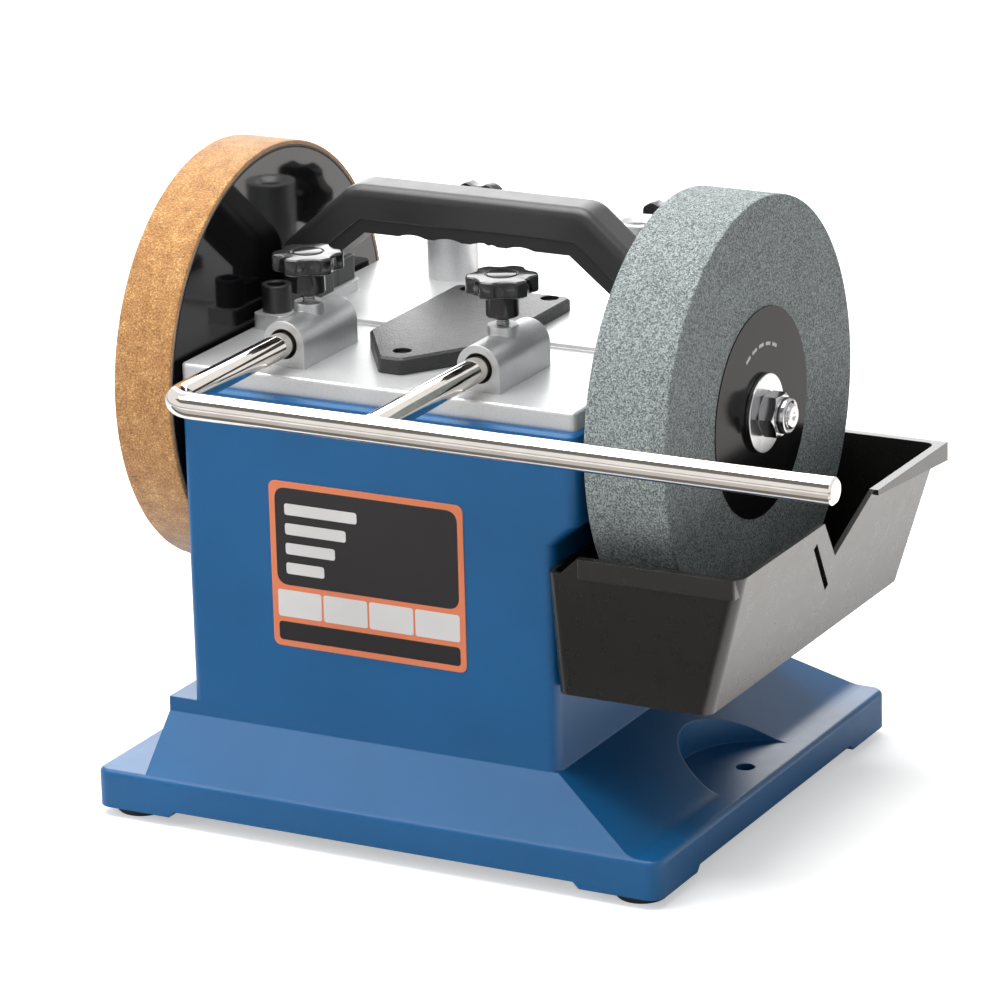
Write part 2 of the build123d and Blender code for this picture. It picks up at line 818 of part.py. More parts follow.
def post_sleeve(x):
    """An upright sleeve, open at the top, with a hole at the back for its lock screw."""
    with BuildPart() as sleeve:
        with BuildSketch(Plane.XY.offset(rear_top)):
            with Locations((x, post_y)):
                Circle(post_sleeve_diameter / 2)
        extrude(amount=post_sleeve_height)
        with BuildSketch(Plane.XZ.offset(-post_y)):
            with Locations((x, post_lock_z)):
                Circle(sleeve_boss_diameter / 2)
        extrude(amount=post_y - post_boss_back)
        with Locations((x, post_y, post_top)):
            Hole(bore_r, depth=post_bore_depth)
        mouth = sleeve.faces().sort_by(Axis.Z)[-1].edges().sort_by(SortBy.RADIUS)[0]
        chamfer(mouth, post_mouth_chamfer)
        with BuildSketch(Plane.XZ.offset(-post_y)):
            with Locations((x, post_lock_z)):
                Circle(lock_r + running_gap)
        extrude(amount=post_y - post_boss_back, mode=Mode.SUBTRACT)
        screw_points = [(x - post_screw_circle, post_y), (x + post_screw_circle, post_y)]
        with Locations(*from_below(screw_points, rear_top)):
            Hole(m4_shank / 2 + press_gap, depth=thread_depth)
    return sleeve.part


def star_knob():
    """A lobed knob on its hub, standing on the XY plane, with a blind hole for its screw."""
    valley = knob_diameter / 2 - knob_scallop_depth
    with BuildPart() as knob:
        with BuildSketch(Plane.XY.offset(knob_hub_height)):
            Circle(knob_diameter / 2)
            with PolarLocations(valley + knob_scallop_radius, knob_lobes):
                Circle(knob_scallop_radius, mode=Mode.SUBTRACT)
        extrude(amount=knob_thickness)
        fillet(knob.edges().group_by(Axis.Z)[-1] + knob.edges().group_by(Axis.Z)[0], knob_edge_radius)
        with BuildSketch(Plane.XY):
            Circle(knob_hub_diameter / 2)
        extrude(amount=knob_hub_height + knob_thickness / 2)
        with BuildSketch(Plane.XY.offset(knob_hub_height + knob_thickness)):
            Circle(knob_cap_diameter / 2)
        extrude(amount=knob_cap_height)
        with BuildSketch(Plane.XY):
            Circle(lock_r + press_gap)
        extrude(amount=knob_thread_depth, mode=Mode.SUBTRACT)
    return knob.part


def lock_screw(length):
    """A plain stud with a chamfered tip, whose tip stands on the XY plane."""
    with BuildPart() as stud:
        with BuildSketch(Plane.XY):
            Circle(lock_r)
        extrude(amount=length)
        chamfer(stud.edges().group_by(Axis.Z)[0], lock_screw_chamfer)
    return stud.part


def placed(piece, point, turn):
    """A copy of a piece at a point, turned about X by an angle in degrees."""
    with BuildPart() as copy:
        with Locations(Location(point, (turn, 0, 0))):
            add(piece)
    return copy.part


# Sleeves, lock knobs and lock screws, left and right
knob = star_knob()
front_tip = rod_z + rod_r + touch_gap
front_hub = sleeve_boss_top + lock_screw_bare
front_stud = lock_screw(front_hub + knob_thread_depth - front_tip)
rear_tip = post_y + bore_r + touch_gap
rear_hub = post_boss_back + post_lock_bare
rear_stud = lock_screw(rear_hub + knob_thread_depth - rear_tip)
for side, x in zip(("left", "right"), sleeve_xs):
    save(tool_sleeve(x), f"tool_sleeve_{side}")
    save(post_sleeve(x), f"post_sleeve_{side}")
    save(placed(knob, (x, sleeve_mid_y, front_hub), 0), f"lock_knob_front_{side}")
    save(placed(front_stud, (x, sleeve_mid_y, front_tip), 0), f"lock_screw_front_{side}")
    save(placed(knob, (x, rear_hub, post_lock_z), -90), f"lock_knob_rear_{side}")
    save(placed(rear_stud, (x, rear_tip, post_lock_z), -90), f"lock_screw_rear_{side}")

m4_sleeve = cap_screw(m4_shank, plate_thickness + sleeve_thread, m4_head, m4_head_height)
save(
    screw_group(m4_sleeve, [(x, y, plate_bottom) for x, y in tool_sleeve_points], turned=True),
    "tool_sleeve_screws",
)
m4_post = cap_screw(m4_shank, plate_thickness + rear_step + thread_depth, m4_head, m4_head_height)
save(
    screw_group(m4_post, [(x, y, plate_bottom) for x, y in post_points], turned=True),
    "post_sleeve_screws",
)

# Tool support: one bent bar, and a second leg with a thinner neck where it is welded to the bar
leg_end = sleeve_back - leg_short_of_sleeve
with BuildPart() as welded_leg:
    with BuildSketch(Plane.XZ.offset(-leg_end)):
        with Locations((sleeve_xs[1], rod_z)):
            Circle(rod_r)
    extrude(amount=leg_end + bar_reach - weld_neck_length)
    chamfer(welded_leg.edges().group_by(Axis.Y)[-1], rod_chamfer)
    with BuildSketch(Plane.XZ.offset(bar_reach)):
        with Locations((sleeve_xs[1], rod_z)):
            Circle(rod_r - weld_neck_inset)
    extrude(amount=-weld_neck_length)
with BuildPart() as tool_support:
    with BuildLine(Plane.XY.offset(rod_z)) as support_path:
        FilletPolyline(
            (sleeve_xs[0], leg_end),
            (sleeve_xs[0], -bar_reach),
            (stone_outer + bar_overhang, -bar_reach),
            radius=bar_bend_radius,
        )
    with BuildSketch(Plane(origin=support_path.line @ 0, z_dir=support_path.line % 0)):
        Circle(rod_r)
    sweep()
    circles = tool_support.edges().filter_by(GeomType.CIRCLE)
    chamfer([circles.sort_by(Axis.Y)[-1], circles.sort_by(Axis.X)[-1]], rod_chamfer)
    add(welded_leg.part)
save(tool_support.part, "tool_support")

# Access cover: a shield outline with a nose to the front, stepped below to sit on the plate
access_top = plate_top + access_cover_thickness
with BuildPart() as access_cover:
    with BuildSketch(Plane.XY.offset(plate_top)) as access_outline:
        with BuildLine():
            Polyline(
                (drive_x - access_cover_nose_half, access_cover_nose_y),
                (drive_x + access_cover_nose_half, access_cover_nose_y),
                (drive_x + access_cover_half_width, access_cover_shoulder_y),
                (drive_x + access_cover_half_width, access_cover_back_y),
                (drive_x - access_cover_half_width, access_cover_back_y),
                (drive_x - access_cover_half_width, access_cover_shoulder_y),
                close=True,
            )
        make_face()
        fillet(access_outline.vertices(), access_cover_corner)
    extrude(amount=access_cover_thickness)
    chamfer(access_cover.edges().group_by(Axis.Z)[-1], access_cover_chamfer)
    with BuildSketch(Plane.XY.offset(plate_top)):
        bounded_rectangle(
            drive_x - access_cover_half_width - access_cover_corner,
            drive_x + access_cover_half_width + access_cover_corner,
            rear_step_y - touch_gap,
            access_cover_back_y + access_cover_corner,
            press_gap,
        )
    extrude(amount=rear_step, mode=Mode.SUBTRACT)
    with Locations(*[(x, y, access_top) for x, y in access_points]):
        CounterBoreHole(
            m4_shank / 2 + screw_gap,
            access_cover_recess_diameter / 2,
            access_cover_recess_depth,
            depth=access_cover_thickness,
        )
save(access_cover.part, "access_cover")

access_seat = access_top - access_cover_recess_depth
m4_access = cap_screw(m4_shank, access_seat - plate_top + thread_depth, m4_head, m4_head_height)
save(screw_group(m4_access, [(x, y, access_seat) for x, y in access_points]), "access_cover_screws")

# Carry handle in two pieces, both drawn in the XZ plane from the pads up
foot_inner = plate_half - pad_thickness
leg_angle = math.atan2(underside_height - inner_shoulder_height, foot_inner - underside_half_length)
seam_foot = (
    foot_inner + grip_strip * math.sin(leg_angle),
    inner_shoulder_height + grip_strip * math.cos(leg_angle),
)
seam_bend = (underside_half_length + grip_strip * math.tan(leg_angle / 2), underside_height + grip_strip)
outer_half = [(plate_half, 0), (plate_half, shoulder_height), (grip_half_length, grip_height)]
seam_half = [(foot_inner, 0), (foot_inner, inner_shoulder_height), seam_foot, seam_bend]
inner_half_line = [(foot_inner, inner_shoulder_height), (underside_half_length, underside_height)]


def handle_points_at(points, side=1):
    """Points of the handle's right half, placed in the frame, or of its left half mirrored."""
    return [(plate_mid + side * x, pad_top + z) for x, z in points]


def outer_depth(point):
    """How far a point of the handle lies inside its outer outline."""
    x = abs(point.X - plate_mid)
    z = point.Z - pad_top
    slope_angle = math.atan2(grip_height - shoulder_height, plate_half - grip_half_length)
    along = (plate_half - x) * math.sin(slope_angle) + (shoulder_height - z) * math.cos(slope_angle)
    return min(plate_half - x, grip_height - z, along)


with BuildPart() as carry_handle:
    with BuildSketch(Plane.XZ.offset(-handle_y)) as handle_outline:
        with BuildLine():
            Polyline(
                *handle_points_at(outer_half),
                *handle_points_at(reversed(outer_half), -1),
                *handle_points_at(seam_half, -1),
                *handle_points_at(reversed(seam_half)),
                close=True,
            )
        make_face()
        bends = [
            handle_outline.vertices().sort_by_distance((x, z))[0]
            for side in (-1, 1)
            for x, z in handle_points_at(outer_half[1:], side)
        ]
        fillet(bends, handle_bend_radius)
    extrude(amount=handle_width / 2, both=True)
    sides = carry_handle.faces().filter_by(Axis.Y)
    rounded = sides.edges().filter_by(lambda edge: outer_depth(edge @ 0.5) < handle_edge_radius)
    fillet(rounded, handle_edge_radius)
    # Feet: a low web, a round socket in front and a block behind, each with a screw hole
    for x in (plate_left, plate_right - pad_thickness):
        with BuildSketch(Plane.XY.offset(pad_top)):
            bounded_rectangle(
                x + handle_foot_inset,
                x + pad_thickness - handle_foot_inset,
                handle_socket_y,
                handle_block_front_y + handle_foot_inset,
                press_gap,
            )
        extrude(amount=handle_foot_height)
        with BuildSketch(Plane.XY.offset(pad_top)):
            bounded_rectangle(
                x + handle_block_inset,
                x + pad_thickness - handle_block_inset,
                handle_block_front_y,
                pad_back_y,
                handle_block_inset,
            )
        extrude(amount=handle_block_height)
        with BuildSketch(Plane.XY.offset(pad_top)):
            with Locations((x + pad_thickness / 2, handle_socket_y)):
                Circle(handle_socket_diameter / 2)
        extrude(amount=handle_socket_height)
    with Locations(*[(x, y, pad_top + handle_socket_height) for x, y in handle_points]):
        CounterBoreHole(
            m5_shank / 2 + screw_gap,
            m5_head / 2 + screw_gap,
            handle_socket_height - handle_screw_floor,
            depth=handle_socket_height,
        )
save(carry_handle.part, "carry_handle")

m5_handle = cap_screw(m5_shank, handle_screw_floor + pad_lift + thread_depth, m5_head, m5_head_height)
save(
    screw_group(m5_handle, [(x, y, pad_top + handle_screw_floor) for x, y in handle_points]),
    "handle_screws",
)

with BuildPart() as handle_grip:
    with BuildSketch(Plane.XZ.offset(-handle_y)):
        with BuildLine():
            Polyline(
                *handle_points_at([seam_foot, seam_bend]),
                *handle_points_at([seam_bend, seam_foot], -1),
                *handle_points_at(inner_half_line, -1),
                *handle_points_at(reversed(inner_half_line)),
                close=True,
            )
        make_face()
        wave_z = pad_top + underside_height + finger_depth - finger_radius
        with Locations(
            *[(plate_mid + (n - (finger_waves - 1) / 2) * finger_pitch, wave_z) for n in range(finger_waves)]
        ):
            Circle(finger_radius, mode=Mode.SUBTRACT)
    extrude(amount=handle_width / 2 - grip_strip_inset, both=True)
save(handle_grip.part, "handle_grip")


def bearing_block(x0):
    """A block under the plate with a bore along X for the bush and two bolt holes."""
    with BuildPart() as block:
        with BuildSketch(across(x0, 0, shaft_z)):
            with Locations((0, axis_below_plate - block_height / 2)):
                Rectangle(block_depth, block_height)
            Circle(bush_r + press_gap, mode=Mode.SUBTRACT)
        extrude(amount=block_width)
        bolt_x = x0 + block_width / 2
        with Locations(*[(bolt_x, sy * block_bolt_spacing / 2, plate_bottom) for sy in (-1, 1)]):
            Hole(m6_shank / 2 + screw_gap, depth=block_height)
    return block.part


save(bearing_block(block_lefts[0]), "bearing_block_left")
save(bearing_block(block_lefts[1]), "bearing_block_right")

m6_block = cap_screw(m6_shank, block_height + thread_depth, m6_head, m6_head_height)
save(
    screw_group(m6_block, [(x, y, plate_bottom - block_height) for x, y in block_points], turned=True),
    "bearing_bolts",
)

# Flanged bronze bushes, with their flanges on the inner sides of the blocks
flange_xs = [block_lefts[0] + block_width, block_lefts[1] - bush_flange]
with BuildPart() as bearing_bushes:
    for x0, flange_x in zip(block_lefts, flange_xs):
        with BuildSketch(across(x0, 0, shaft_z)):
            Circle(bush_r)
        extrude(amount=block_width)
        with BuildSketch(across(flange_x, 0, shaft_z)):
            Circle(bush_r + bush_flange_rise)
        extrude(amount=bush_flange)
    with BuildSketch(across(column_left, 0, shaft_z)):
        Circle(spindle_r + running_gap)
    extrude(amount=column_width, mode=Mode.SUBTRACT)
save(bearing_bushes.part, "bearing_bushes")

# Spindle: a thick middle between two shoulders and a thinner end at each side
spindle_right_end = washer_outer + nut_height + thread_run_out
spindle_left_end = honing_nut_seat - nut_height - thread_run_out
with BuildPart() as main_shaft:
    with BuildSketch(across(spindle_left_end, 0, shaft_z)):
        Circle(spindle_end_r)
    extrude(amount=spindle_right_end - spindle_left_end)
    chamfer(main_shaft.edges().filter_by(GeomType.CIRCLE), spindle_chamfer)
    with BuildSketch(across(honing_shoulder, 0, shaft_z)):
        Circle(spindle_r)
    extrude(amount=stone_shoulder - honing_shoulder)
save(main_shaft.part, "main_shaft")


def ring(x0, thickness, outer_r, inner_r):
    """A flat ring round the spindle axis."""
    with BuildPart() as disc:
        with BuildSketch(across(x0, 0, shaft_z)):
            Circle(outer_r)
            Circle(inner_r, mode=Mode.SUBTRACT)
        extrude(amount=thickness)
    return disc.part


def lock_nut(x0, outward):
    """A hexagon nut with a round collar, seated at x0 on the spindle axis."""
    seat = Plane(origin=(x0, 0, shaft_z), x_dir=(0, 1, 0), z_dir=(outward, 0, 0))
    with BuildPart() as nut:
        with BuildSketch(seat):
            RegularPolygon(nut_across_flats / 2, 6, major_radius=False)
        extrude(amount=nut_hex_height)
        with BuildSketch(seat.offset(nut_hex_height)):
            Circle(nut_collar_diameter / 2)
        extrude(amount=nut_collar_height)
        rims = nut.edges().filter_by(GeomType.CIRCLE).sort_by(Axis.X)
        chamfer(rims[-1] if outward > 0 else rims[0], spindle_chamfer)
        with BuildSketch(seat):
            Circle(spindle_end_r + press_gap)
        extrude(amount=nut_height, mode=Mode.SUBTRACT)
    return nut.part


# Stone stack, from the shoulder outwards
with BuildPart() as grinding_stone:
    with BuildSketch(across(stone_inner, 0, shaft_z)):
        Circle(stone_r)
    extrude(amount=stone_width)
    chamfer(grinding_stone.edges().filter_by(GeomType.CIRCLE), stone_edge_chamfer)
    with BuildSketch(across(stone_inner, 0, shaft_z)):
        Circle(spindle_end_r + stone_bore_gap)
    extrude(amount=stone_width, mode=Mode.SUBTRACT)
save(grinding_stone.part, "grinding_stone")

label_bore = spindle_end_r + stone_bore_gap
with BuildPart() as stone_labels:
    for x0 in (stone_inner - stone_label_thickness, stone_outer):
        with BuildSketch(across(x0, 0, shaft_z)):
            Circle(stone_label_diameter / 2)
            Circle(label_bore, mode=Mode.SUBTRACT)
        extrude(amount=stone_label_thickness)
save(stone_labels.part, "stone_labels")
clamp_bore = spindle_end_r + press_gap
save(ring(stone_shoulder, clamp_thickness, clamp_diameter / 2, clamp_bore), "stone_inner_flange")
save(ring(washer_outer - clamp_thickness, clamp_thickness, clamp_diameter / 2, clamp_bore), "stone_washer")
save(lock_nut(washer_outer, 1), "stone_nut")

# Honing wheel: a core with a dished outer face, and a leather band round it
honing_hub_r = honing_recess_diameter / 2 + honing_hub_width
with BuildPart() as honing_wheel:
    with BuildSketch(across(honing_outer, 0, shaft_z)):
        Circle(honing_core_r)
        Circle(clamp_bore, mode=Mode.SUBTRACT)
    extrude(amount=honing_width)
    with BuildSketch(across(honing_outer, 0, shaft_z)):
        Circle(honing_recess_diameter / 2)
    extrude(amount=honing_recess_depth, mode=Mode.SUBTRACT)
    with BuildSketch(across(honing_outer, 0, shaft_z)):
        Circle(honing_core_r - honing_rim_width)
        Circle(honing_hub_r, mode=Mode.SUBTRACT)
    extrude(amount=honing_dish_depth, mode=Mode.SUBTRACT)
save(honing_wheel.part, "honing_wheel")
save(ring(honing_outer, honing_width, honing_r, honing_core_r + press_gap), "leather_band")

with BuildPart() as honing_washers:
    for x0 in (honing_inner, honing_nut_seat):
        with BuildSketch(across(x0, 0, shaft_z)):
            Circle(clamp_diameter / 2)
            Circle(clamp_bore, mode=Mode.SUBTRACT)
        extrude(amount=honing_washer_thickness)
save(honing_washers.part, "honing_washers")
save(lock_nut(honing_nut_seat, -1), "honing_nut")

# Worm drive: the tooth gaps of the wheel are straight and slanted by the worm's lead angle
lead = worm_starts * math.pi * gear_module
lead_angle = math.atan(lead / (2 * math.pi * worm_pitch_radius))
flank = math.tan(math.radians(pressure_angle))
tooth_root = gear_root_share * gear_module
gap_half = math.pi * gear_module / 4 + gear_backlash
cut_out = gear_module + press_gap
with BuildPart() as tooth_gap:
    with BuildSketch(
        Plane(
            origin=(gear_radius, 0, 0),
            x_dir=(1, 0, 0),
            z_dir=(0, math.sin(lead_angle), math.cos(lead_angle)),
        )
    ):
        with BuildLine():
            Polyline(
                (-tooth_root, -gap_half + tooth_root * flank),
                (cut_out, -gap_half - cut_out * flank),
                (cut_out, gap_half + cut_out * flank),
                (-tooth_root, gap_half - tooth_root * flank),
                close=True,
            )
        make_face()
    extrude(amount=gear_face, both=True)
with BuildPart(across(drive_x, 0, shaft_z)) as worm_wheel:
    Cylinder(gear_radius + gear_module, gear_face)
    with PolarLocations(0, gear_teeth):
        add(tooth_gap.part, mode=Mode.SUBTRACT)
    Cylinder(gear_hub_diameter / 2, gear_hub_length)
    Cylinder(spindle_r + press_gap, gear_hub_length, mode=Mode.SUBTRACT)
save(worm_wheel.part, "worm_wheel")

# Worm: its thread starts are helical sweeps, trimmed to the worm's length
worm_low = shaft_z - worm_length / 2 - worm_collar
worm_root_r = worm_pitch_radius - tooth_root
thread_half = math.pi * gear_module / 4 - gear_backlash
thread_turns = math.ceil(worm_length / 2 / lead) + 1
with BuildPart() as worm_thread:
    with BuildLine() as thread_line:
        Helix(lead, 2 * thread_turns * lead, worm_pitch_radius, center=(0, 0, -thread_turns * lead))
    with BuildSketch(Plane(origin=thread_line.line @ 0, x_dir=(1, 0, 0), z_dir=thread_line.line % 0)):
        with BuildLine():
            Polyline(
                (-tooth_root - thread_sink, -thread_half - (tooth_root + thread_sink) * flank),
                (gear_module, -thread_half + gear_module * flank),
                (gear_module, thread_half - gear_module * flank),
                (-tooth_root - thread_sink, thread_half + (tooth_root + thread_sink) * flank),
                close=True,
            )
        make_face()
    sweep(is_frenet=True)
mesh_side = Plane(origin=(drive_x, worm_y, shaft_z), x_dir=(0, 1, 0), z_dir=(0, 0, 1))
with BuildPart(mesh_side) as worm:
    with PolarLocations(0, worm_starts):
        add(worm_thread.part)
    Cylinder(worm_pitch_radius + 2 * gear_module, worm_length, mode=Mode.INTERSECT)
    Cylinder(worm_root_r, worm_length)
    with Locations((0, 0, -worm_length / 2 - worm_collar / 2)):
        Cylinder(worm_root_r, worm_collar)
    with Locations((0, 0, -worm_collar / 2)):
        Cylinder(worm_seat_diameter / 2 + press_gap, worm_length + worm_collar, mode=Mode.SUBTRACT)
save(worm.part, "worm")

# Motor bracket: a tray under the plate, hung from two tabs
bracket_top = plate_bottom - bracket_drop
bracket_bottom = bracket_top - bracket_thickness
bracket_y0 = worm_y - bracket_front
bracket_y1 = worm_y + bracket_back
motor_screw_half = motor_screw_circle / 2 / math.sqrt(2)
motor_screw_points = [
    (drive_x + sx * motor_screw_half, worm_y + sy * motor_screw_half) for sx in (-1, 1) for sy in (-1, 1)
]
bracket_side_x = bracket_half_width - bracket_thickness / 2
bracket_side_z = (bracket_bottom + plate_bottom) / 2
bracket_tab_low = plate_bottom - bracket_thickness
with BuildPart() as motor_bracket:
    with BuildSketch(Plane.XZ.offset(-bracket_y0)):
        with Locations((drive_x, bracket_bottom + bracket_thickness / 2)):
            Rectangle(2 * bracket_half_width, bracket_thickness)
        for side in (-1, 1):
            with Locations((drive_x + side * bracket_side_x, bracket_side_z)):
                Rectangle(bracket_thickness, plate_bottom - bracket_bottom)
    extrude(amount=bracket_y0 - bracket_y1)
    with BuildSketch(Plane.XY.offset(plate_bottom)):
        for side in (-1, 1):
            with Locations((drive_x + side * bracket_tab_x, bracket_tab_mid)):
                Rectangle(bracket_tab, bracket_tab_length)
    extrude(amount=-bracket_thickness)
    with BuildSketch(across(drive_x, 0, shaft_z)):
        Circle(spindle_r + shaft_slot_gap)
    extrude(amount=bracket_half_width, both=True, mode=Mode.SUBTRACT)
    with Locations((drive_x, worm_y, bracket_top)):
        Hole(bracket_hole_diameter / 2, depth=bracket_thickness)
    with Locations(*[(x, y, bracket_top) for x, y in motor_screw_points]):
        Hole(m5_shank / 2 + screw_gap, depth=bracket_thickness)
    with Locations(*[(x, y, plate_bottom) for x, y in bracket_points]):
        Hole(m5_shank / 2 + screw_gap, depth=bracket_thickness)
save(motor_bracket.part, "motor_bracket")

m5_bracket = cap_screw(m5_shank, bracket_thickness + thread_depth, m5_head, m5_head_height)
save(
    screw_group(m5_bracket, [(x, y, bracket_tab_low) for x, y in bracket_points], turned=True),
    "bracket_bolts",
)
save(screw_group(m5_bracket, [(x, y, bracket_top) for x, y in motor_screw_points]), "motor_screws")

# Motor: shell between two end bells, each with a ball bearing
motor_r = motor_diameter / 2
shell_top = bracket_bottom - bell_thickness
shell_low = shell_top - motor_length
motor_low = shell_low - bell_thickness
motor_axis = Plane(origin=(drive_x, worm_y, 0))


def end_bell(z0):
    """A round motor end with a bearing seat and a ring of vent holes."""
    with BuildPart() as bell:
        with BuildSketch(motor_axis.offset(z0)):
            Circle(motor_r)
            Circle(bearing_outer / 2 + press_gap, mode=Mode.SUBTRACT)
            with PolarLocations(bell_hole_circle / 2, bell_hole_count):
                Circle(bell_hole_radius, mode=Mode.SUBTRACT)
        extrude(amount=bell_thickness)
    return bell.part


with BuildPart() as motor_top_bell:
    add(end_bell(shell_top))
    with Locations(*[(x, y, bracket_bottom) for x, y in motor_screw_points]):
        Hole(m5_shank / 2 + press_gap, depth=thread_depth)
save(motor_top_bell.part, "motor_top_bell")
save(end_bell(motor_low), "motor_bottom_bell")

with BuildPart() as motor_shell:
    with BuildSketch(motor_axis.offset(shell_low)):
        Circle(motor_r)
        Circle(motor_r - motor_wall, mode=Mode.SUBTRACT)
    extrude(amount=motor_length)
save(motor_shell.part, "motor_shell")

# Stator core with a winding that bulges out at both ends
stator_low = (shell_low + shell_top - stator_length) / 2
winding_inner = stator_bore / 2 + rotor_margin
with BuildPart() as motor_stator:
    with BuildSketch(motor_axis.offset(stator_low)):
        Circle(motor_r - motor_wall - press_gap)
        Circle(stator_bore / 2, mode=Mode.SUBTRACT)
    extrude(amount=stator_length)
    with BuildSketch(motor_axis.offset(stator_low - winding_bulge)):
        Circle(winding_inner + winding_thickness)
        Circle(winding_inner, mode=Mode.SUBTRACT)
    extrude(amount=stator_length + 2 * winding_bulge)
    bulge_edges = motor_stator.edges().group_by(Axis.Z)
    fillet(bulge_edges[0] + bulge_edges[-1], winding_radius)
save(motor_stator.part, "motor_stator")

with BuildPart() as motor_bearings:
    for z0 in (motor_low, shell_top):
        with BuildSketch(motor_axis.offset(z0)):
            Circle(bearing_outer / 2)
            Circle(rotor_shaft_r + running_gap, mode=Mode.SUBTRACT)
        extrude(amount=bell_thickness)
save(motor_bearings.part, "motor_bearings")

# Rotor on its shaft, which steps down to carry the worm
with BuildPart() as rotor:
    with BuildSketch(motor_axis.offset(stator_low)):
        Circle(stator_bore / 2 - air_gap)
    extrude(amount=stator_length)
    with BuildSketch(motor_axis.offset(motor_low)):
        Circle(rotor_shaft_r)
    extrude(amount=worm_low - motor_low)
    with BuildSketch(motor_axis.offset(worm_low)):
        Circle(worm_seat_diameter / 2)
    extrude(amount=worm_length + worm_collar)
save(rotor.part, "rotor")

# Capacitor upright against the left wall, in a spring clip
capacitor_r = capacitor_diameter / 2
capacitor_x = inner_left + 2 * clip_thickness + capacitor_r
capacitor_z = crease_z + capacitor_lift
clip_low = capacitor_z + (capacitor_length - clip_width) / 2
with BuildPart() as capacitor:
    with BuildSketch(Plane.XY.offset(capacitor_z)):
        with Locations((capacitor_x, capacitor_y)):
            Circle(capacitor_r)
    extrude(amount=capacitor_length)
    fillet(capacitor.edges().group_by(Axis.Z)[-1], clip_thickness)
save(capacitor.part, "capacitor")

mouth_half = (capacitor_r + 2 * clip_thickness) * math.sin(math.radians(clip_mouth_angle / 2))
with BuildPart() as capacitor_clip:
    with BuildSketch(Plane.XY.offset(clip_low)):
        with Locations((capacitor_x, capacitor_y)):
            Circle(capacitor_r + press_gap + clip_thickness)
        with Locations((inner_left + clip_thickness, capacitor_y)):
            Rectangle(2 * clip_thickness, clip_width)
        with Locations((capacitor_x, capacitor_y)):
            Circle(capacitor_r + press_gap, mode=Mode.SUBTRACT)
        with Locations((capacitor_x + capacitor_r, capacitor_y)):
            Rectangle(capacitor_r, 2 * mouth_half, mode=Mode.SUBTRACT)
    extrude(amount=clip_width)
save(capacitor_clip.part, "capacitor_clip")

# Switch on the back: a body with a bezel, and a rocker on two pins
bezel_face = column_half + switch_bezel_thickness
pivot_y = bezel_face - rocker_pivot_depth
pocket_width = rocker_width + 2 * touch_gap
with BuildPart() as switch_housing:
    with BuildSketch(Plane.XZ.offset(-column_half)):
        with Locations((switch_x, switch_z)):
            RectangleRounded(switch_bezel_width, switch_bezel_height, switch_body_margin / 2)
    extrude(amount=-switch_bezel_thickness)
    with BuildSketch(Plane.XZ.offset(-column_half)):
        with Locations((switch_x, switch_z)):
            Rectangle(switch_body_width, switch_body_height)
    extrude(amount=switch_body_depth)
    with BuildSketch(Plane.XZ.offset(-bezel_face)):
        with Locations((switch_x, switch_z)):
            Rectangle(pocket_width, rocker_height + 2 * rocker_room)
    extrude(amount=rocker_pocket_depth, mode=Mode.SUBTRACT)
    with BuildSketch(across(switch_x, pivot_y, switch_z)):
        Circle(rocker_pin_diameter / 2 + running_gap)
    extrude(amount=pocket_width / 2 + rocker_pin_length, both=True, mode=Mode.SUBTRACT)
save(switch_housing.part, "switch_housing")

tip = math.radians(rocker_tip)
rocker_plane = Plane(
    origin=(switch_x, pivot_y, switch_z),
    x_dir=(0, math.sin(tip), math.cos(tip)),
    z_dir=(-1, 0, 0),
)
with BuildPart() as switch_rocker:
    with BuildSketch(rocker_plane):
        with BuildLine():
            Polyline(
                (-rocker_height / 2, rocker_rise),
                (0, rocker_valley),
                (rocker_height / 2, rocker_rise),
                (rocker_height / 2 - rocker_taper, -rocker_depth),
                (-rocker_height / 2 + rocker_taper, -rocker_depth),
                close=True,
            )
        make_face()
    extrude(amount=rocker_width / 2, both=True)
    with BuildSketch(rocker_plane):
        Circle(rocker_pin_diameter / 2)
    extrude(amount=rocker_width / 2 + rocker_pin_length, both=True)
save(switch_rocker.part, "switch_rocker")

# Cable gland: a snap-in bush through the back wall
gland_r = gland_diameter / 2
gland_outside = Plane.XZ.offset(-column_half)
with BuildPart() as cable_gland:
    with BuildSketch(gland_outside):
        with Locations((gland_x, gland_z)):
            Circle(gland_r + gland_flange)
    extrude(amount=-gland_flange_thickness)
    with BuildSketch(gland_outside):
        with Locations((gland_x, gland_z)):
            Circle(gland_r)
    extrude(amount=-gland_flange_thickness - gland_nose_length)
    with BuildSketch(gland_outside):
        with Locations((gland_x, gland_z)):
            Circle(gland_r)
    extrude(amount=column_wall)
    with BuildSketch(gland_outside.offset(column_wall)):
        with Locations((gland_x, gland_z)):
            Circle(gland_r + gland_barb)
    extrude(amount=gland_barb_length, taper=gland_barb_taper)
    with BuildSketch(gland_outside.offset(column_wall + gland_barb_length)):
        with Locations((gland_x, gland_z)):
            Circle(gland_bore / 2)
    extrude(amount=-column_depth, mode=Mode.SUBTRACT)
save(cable_gland.part, "cable_gland")

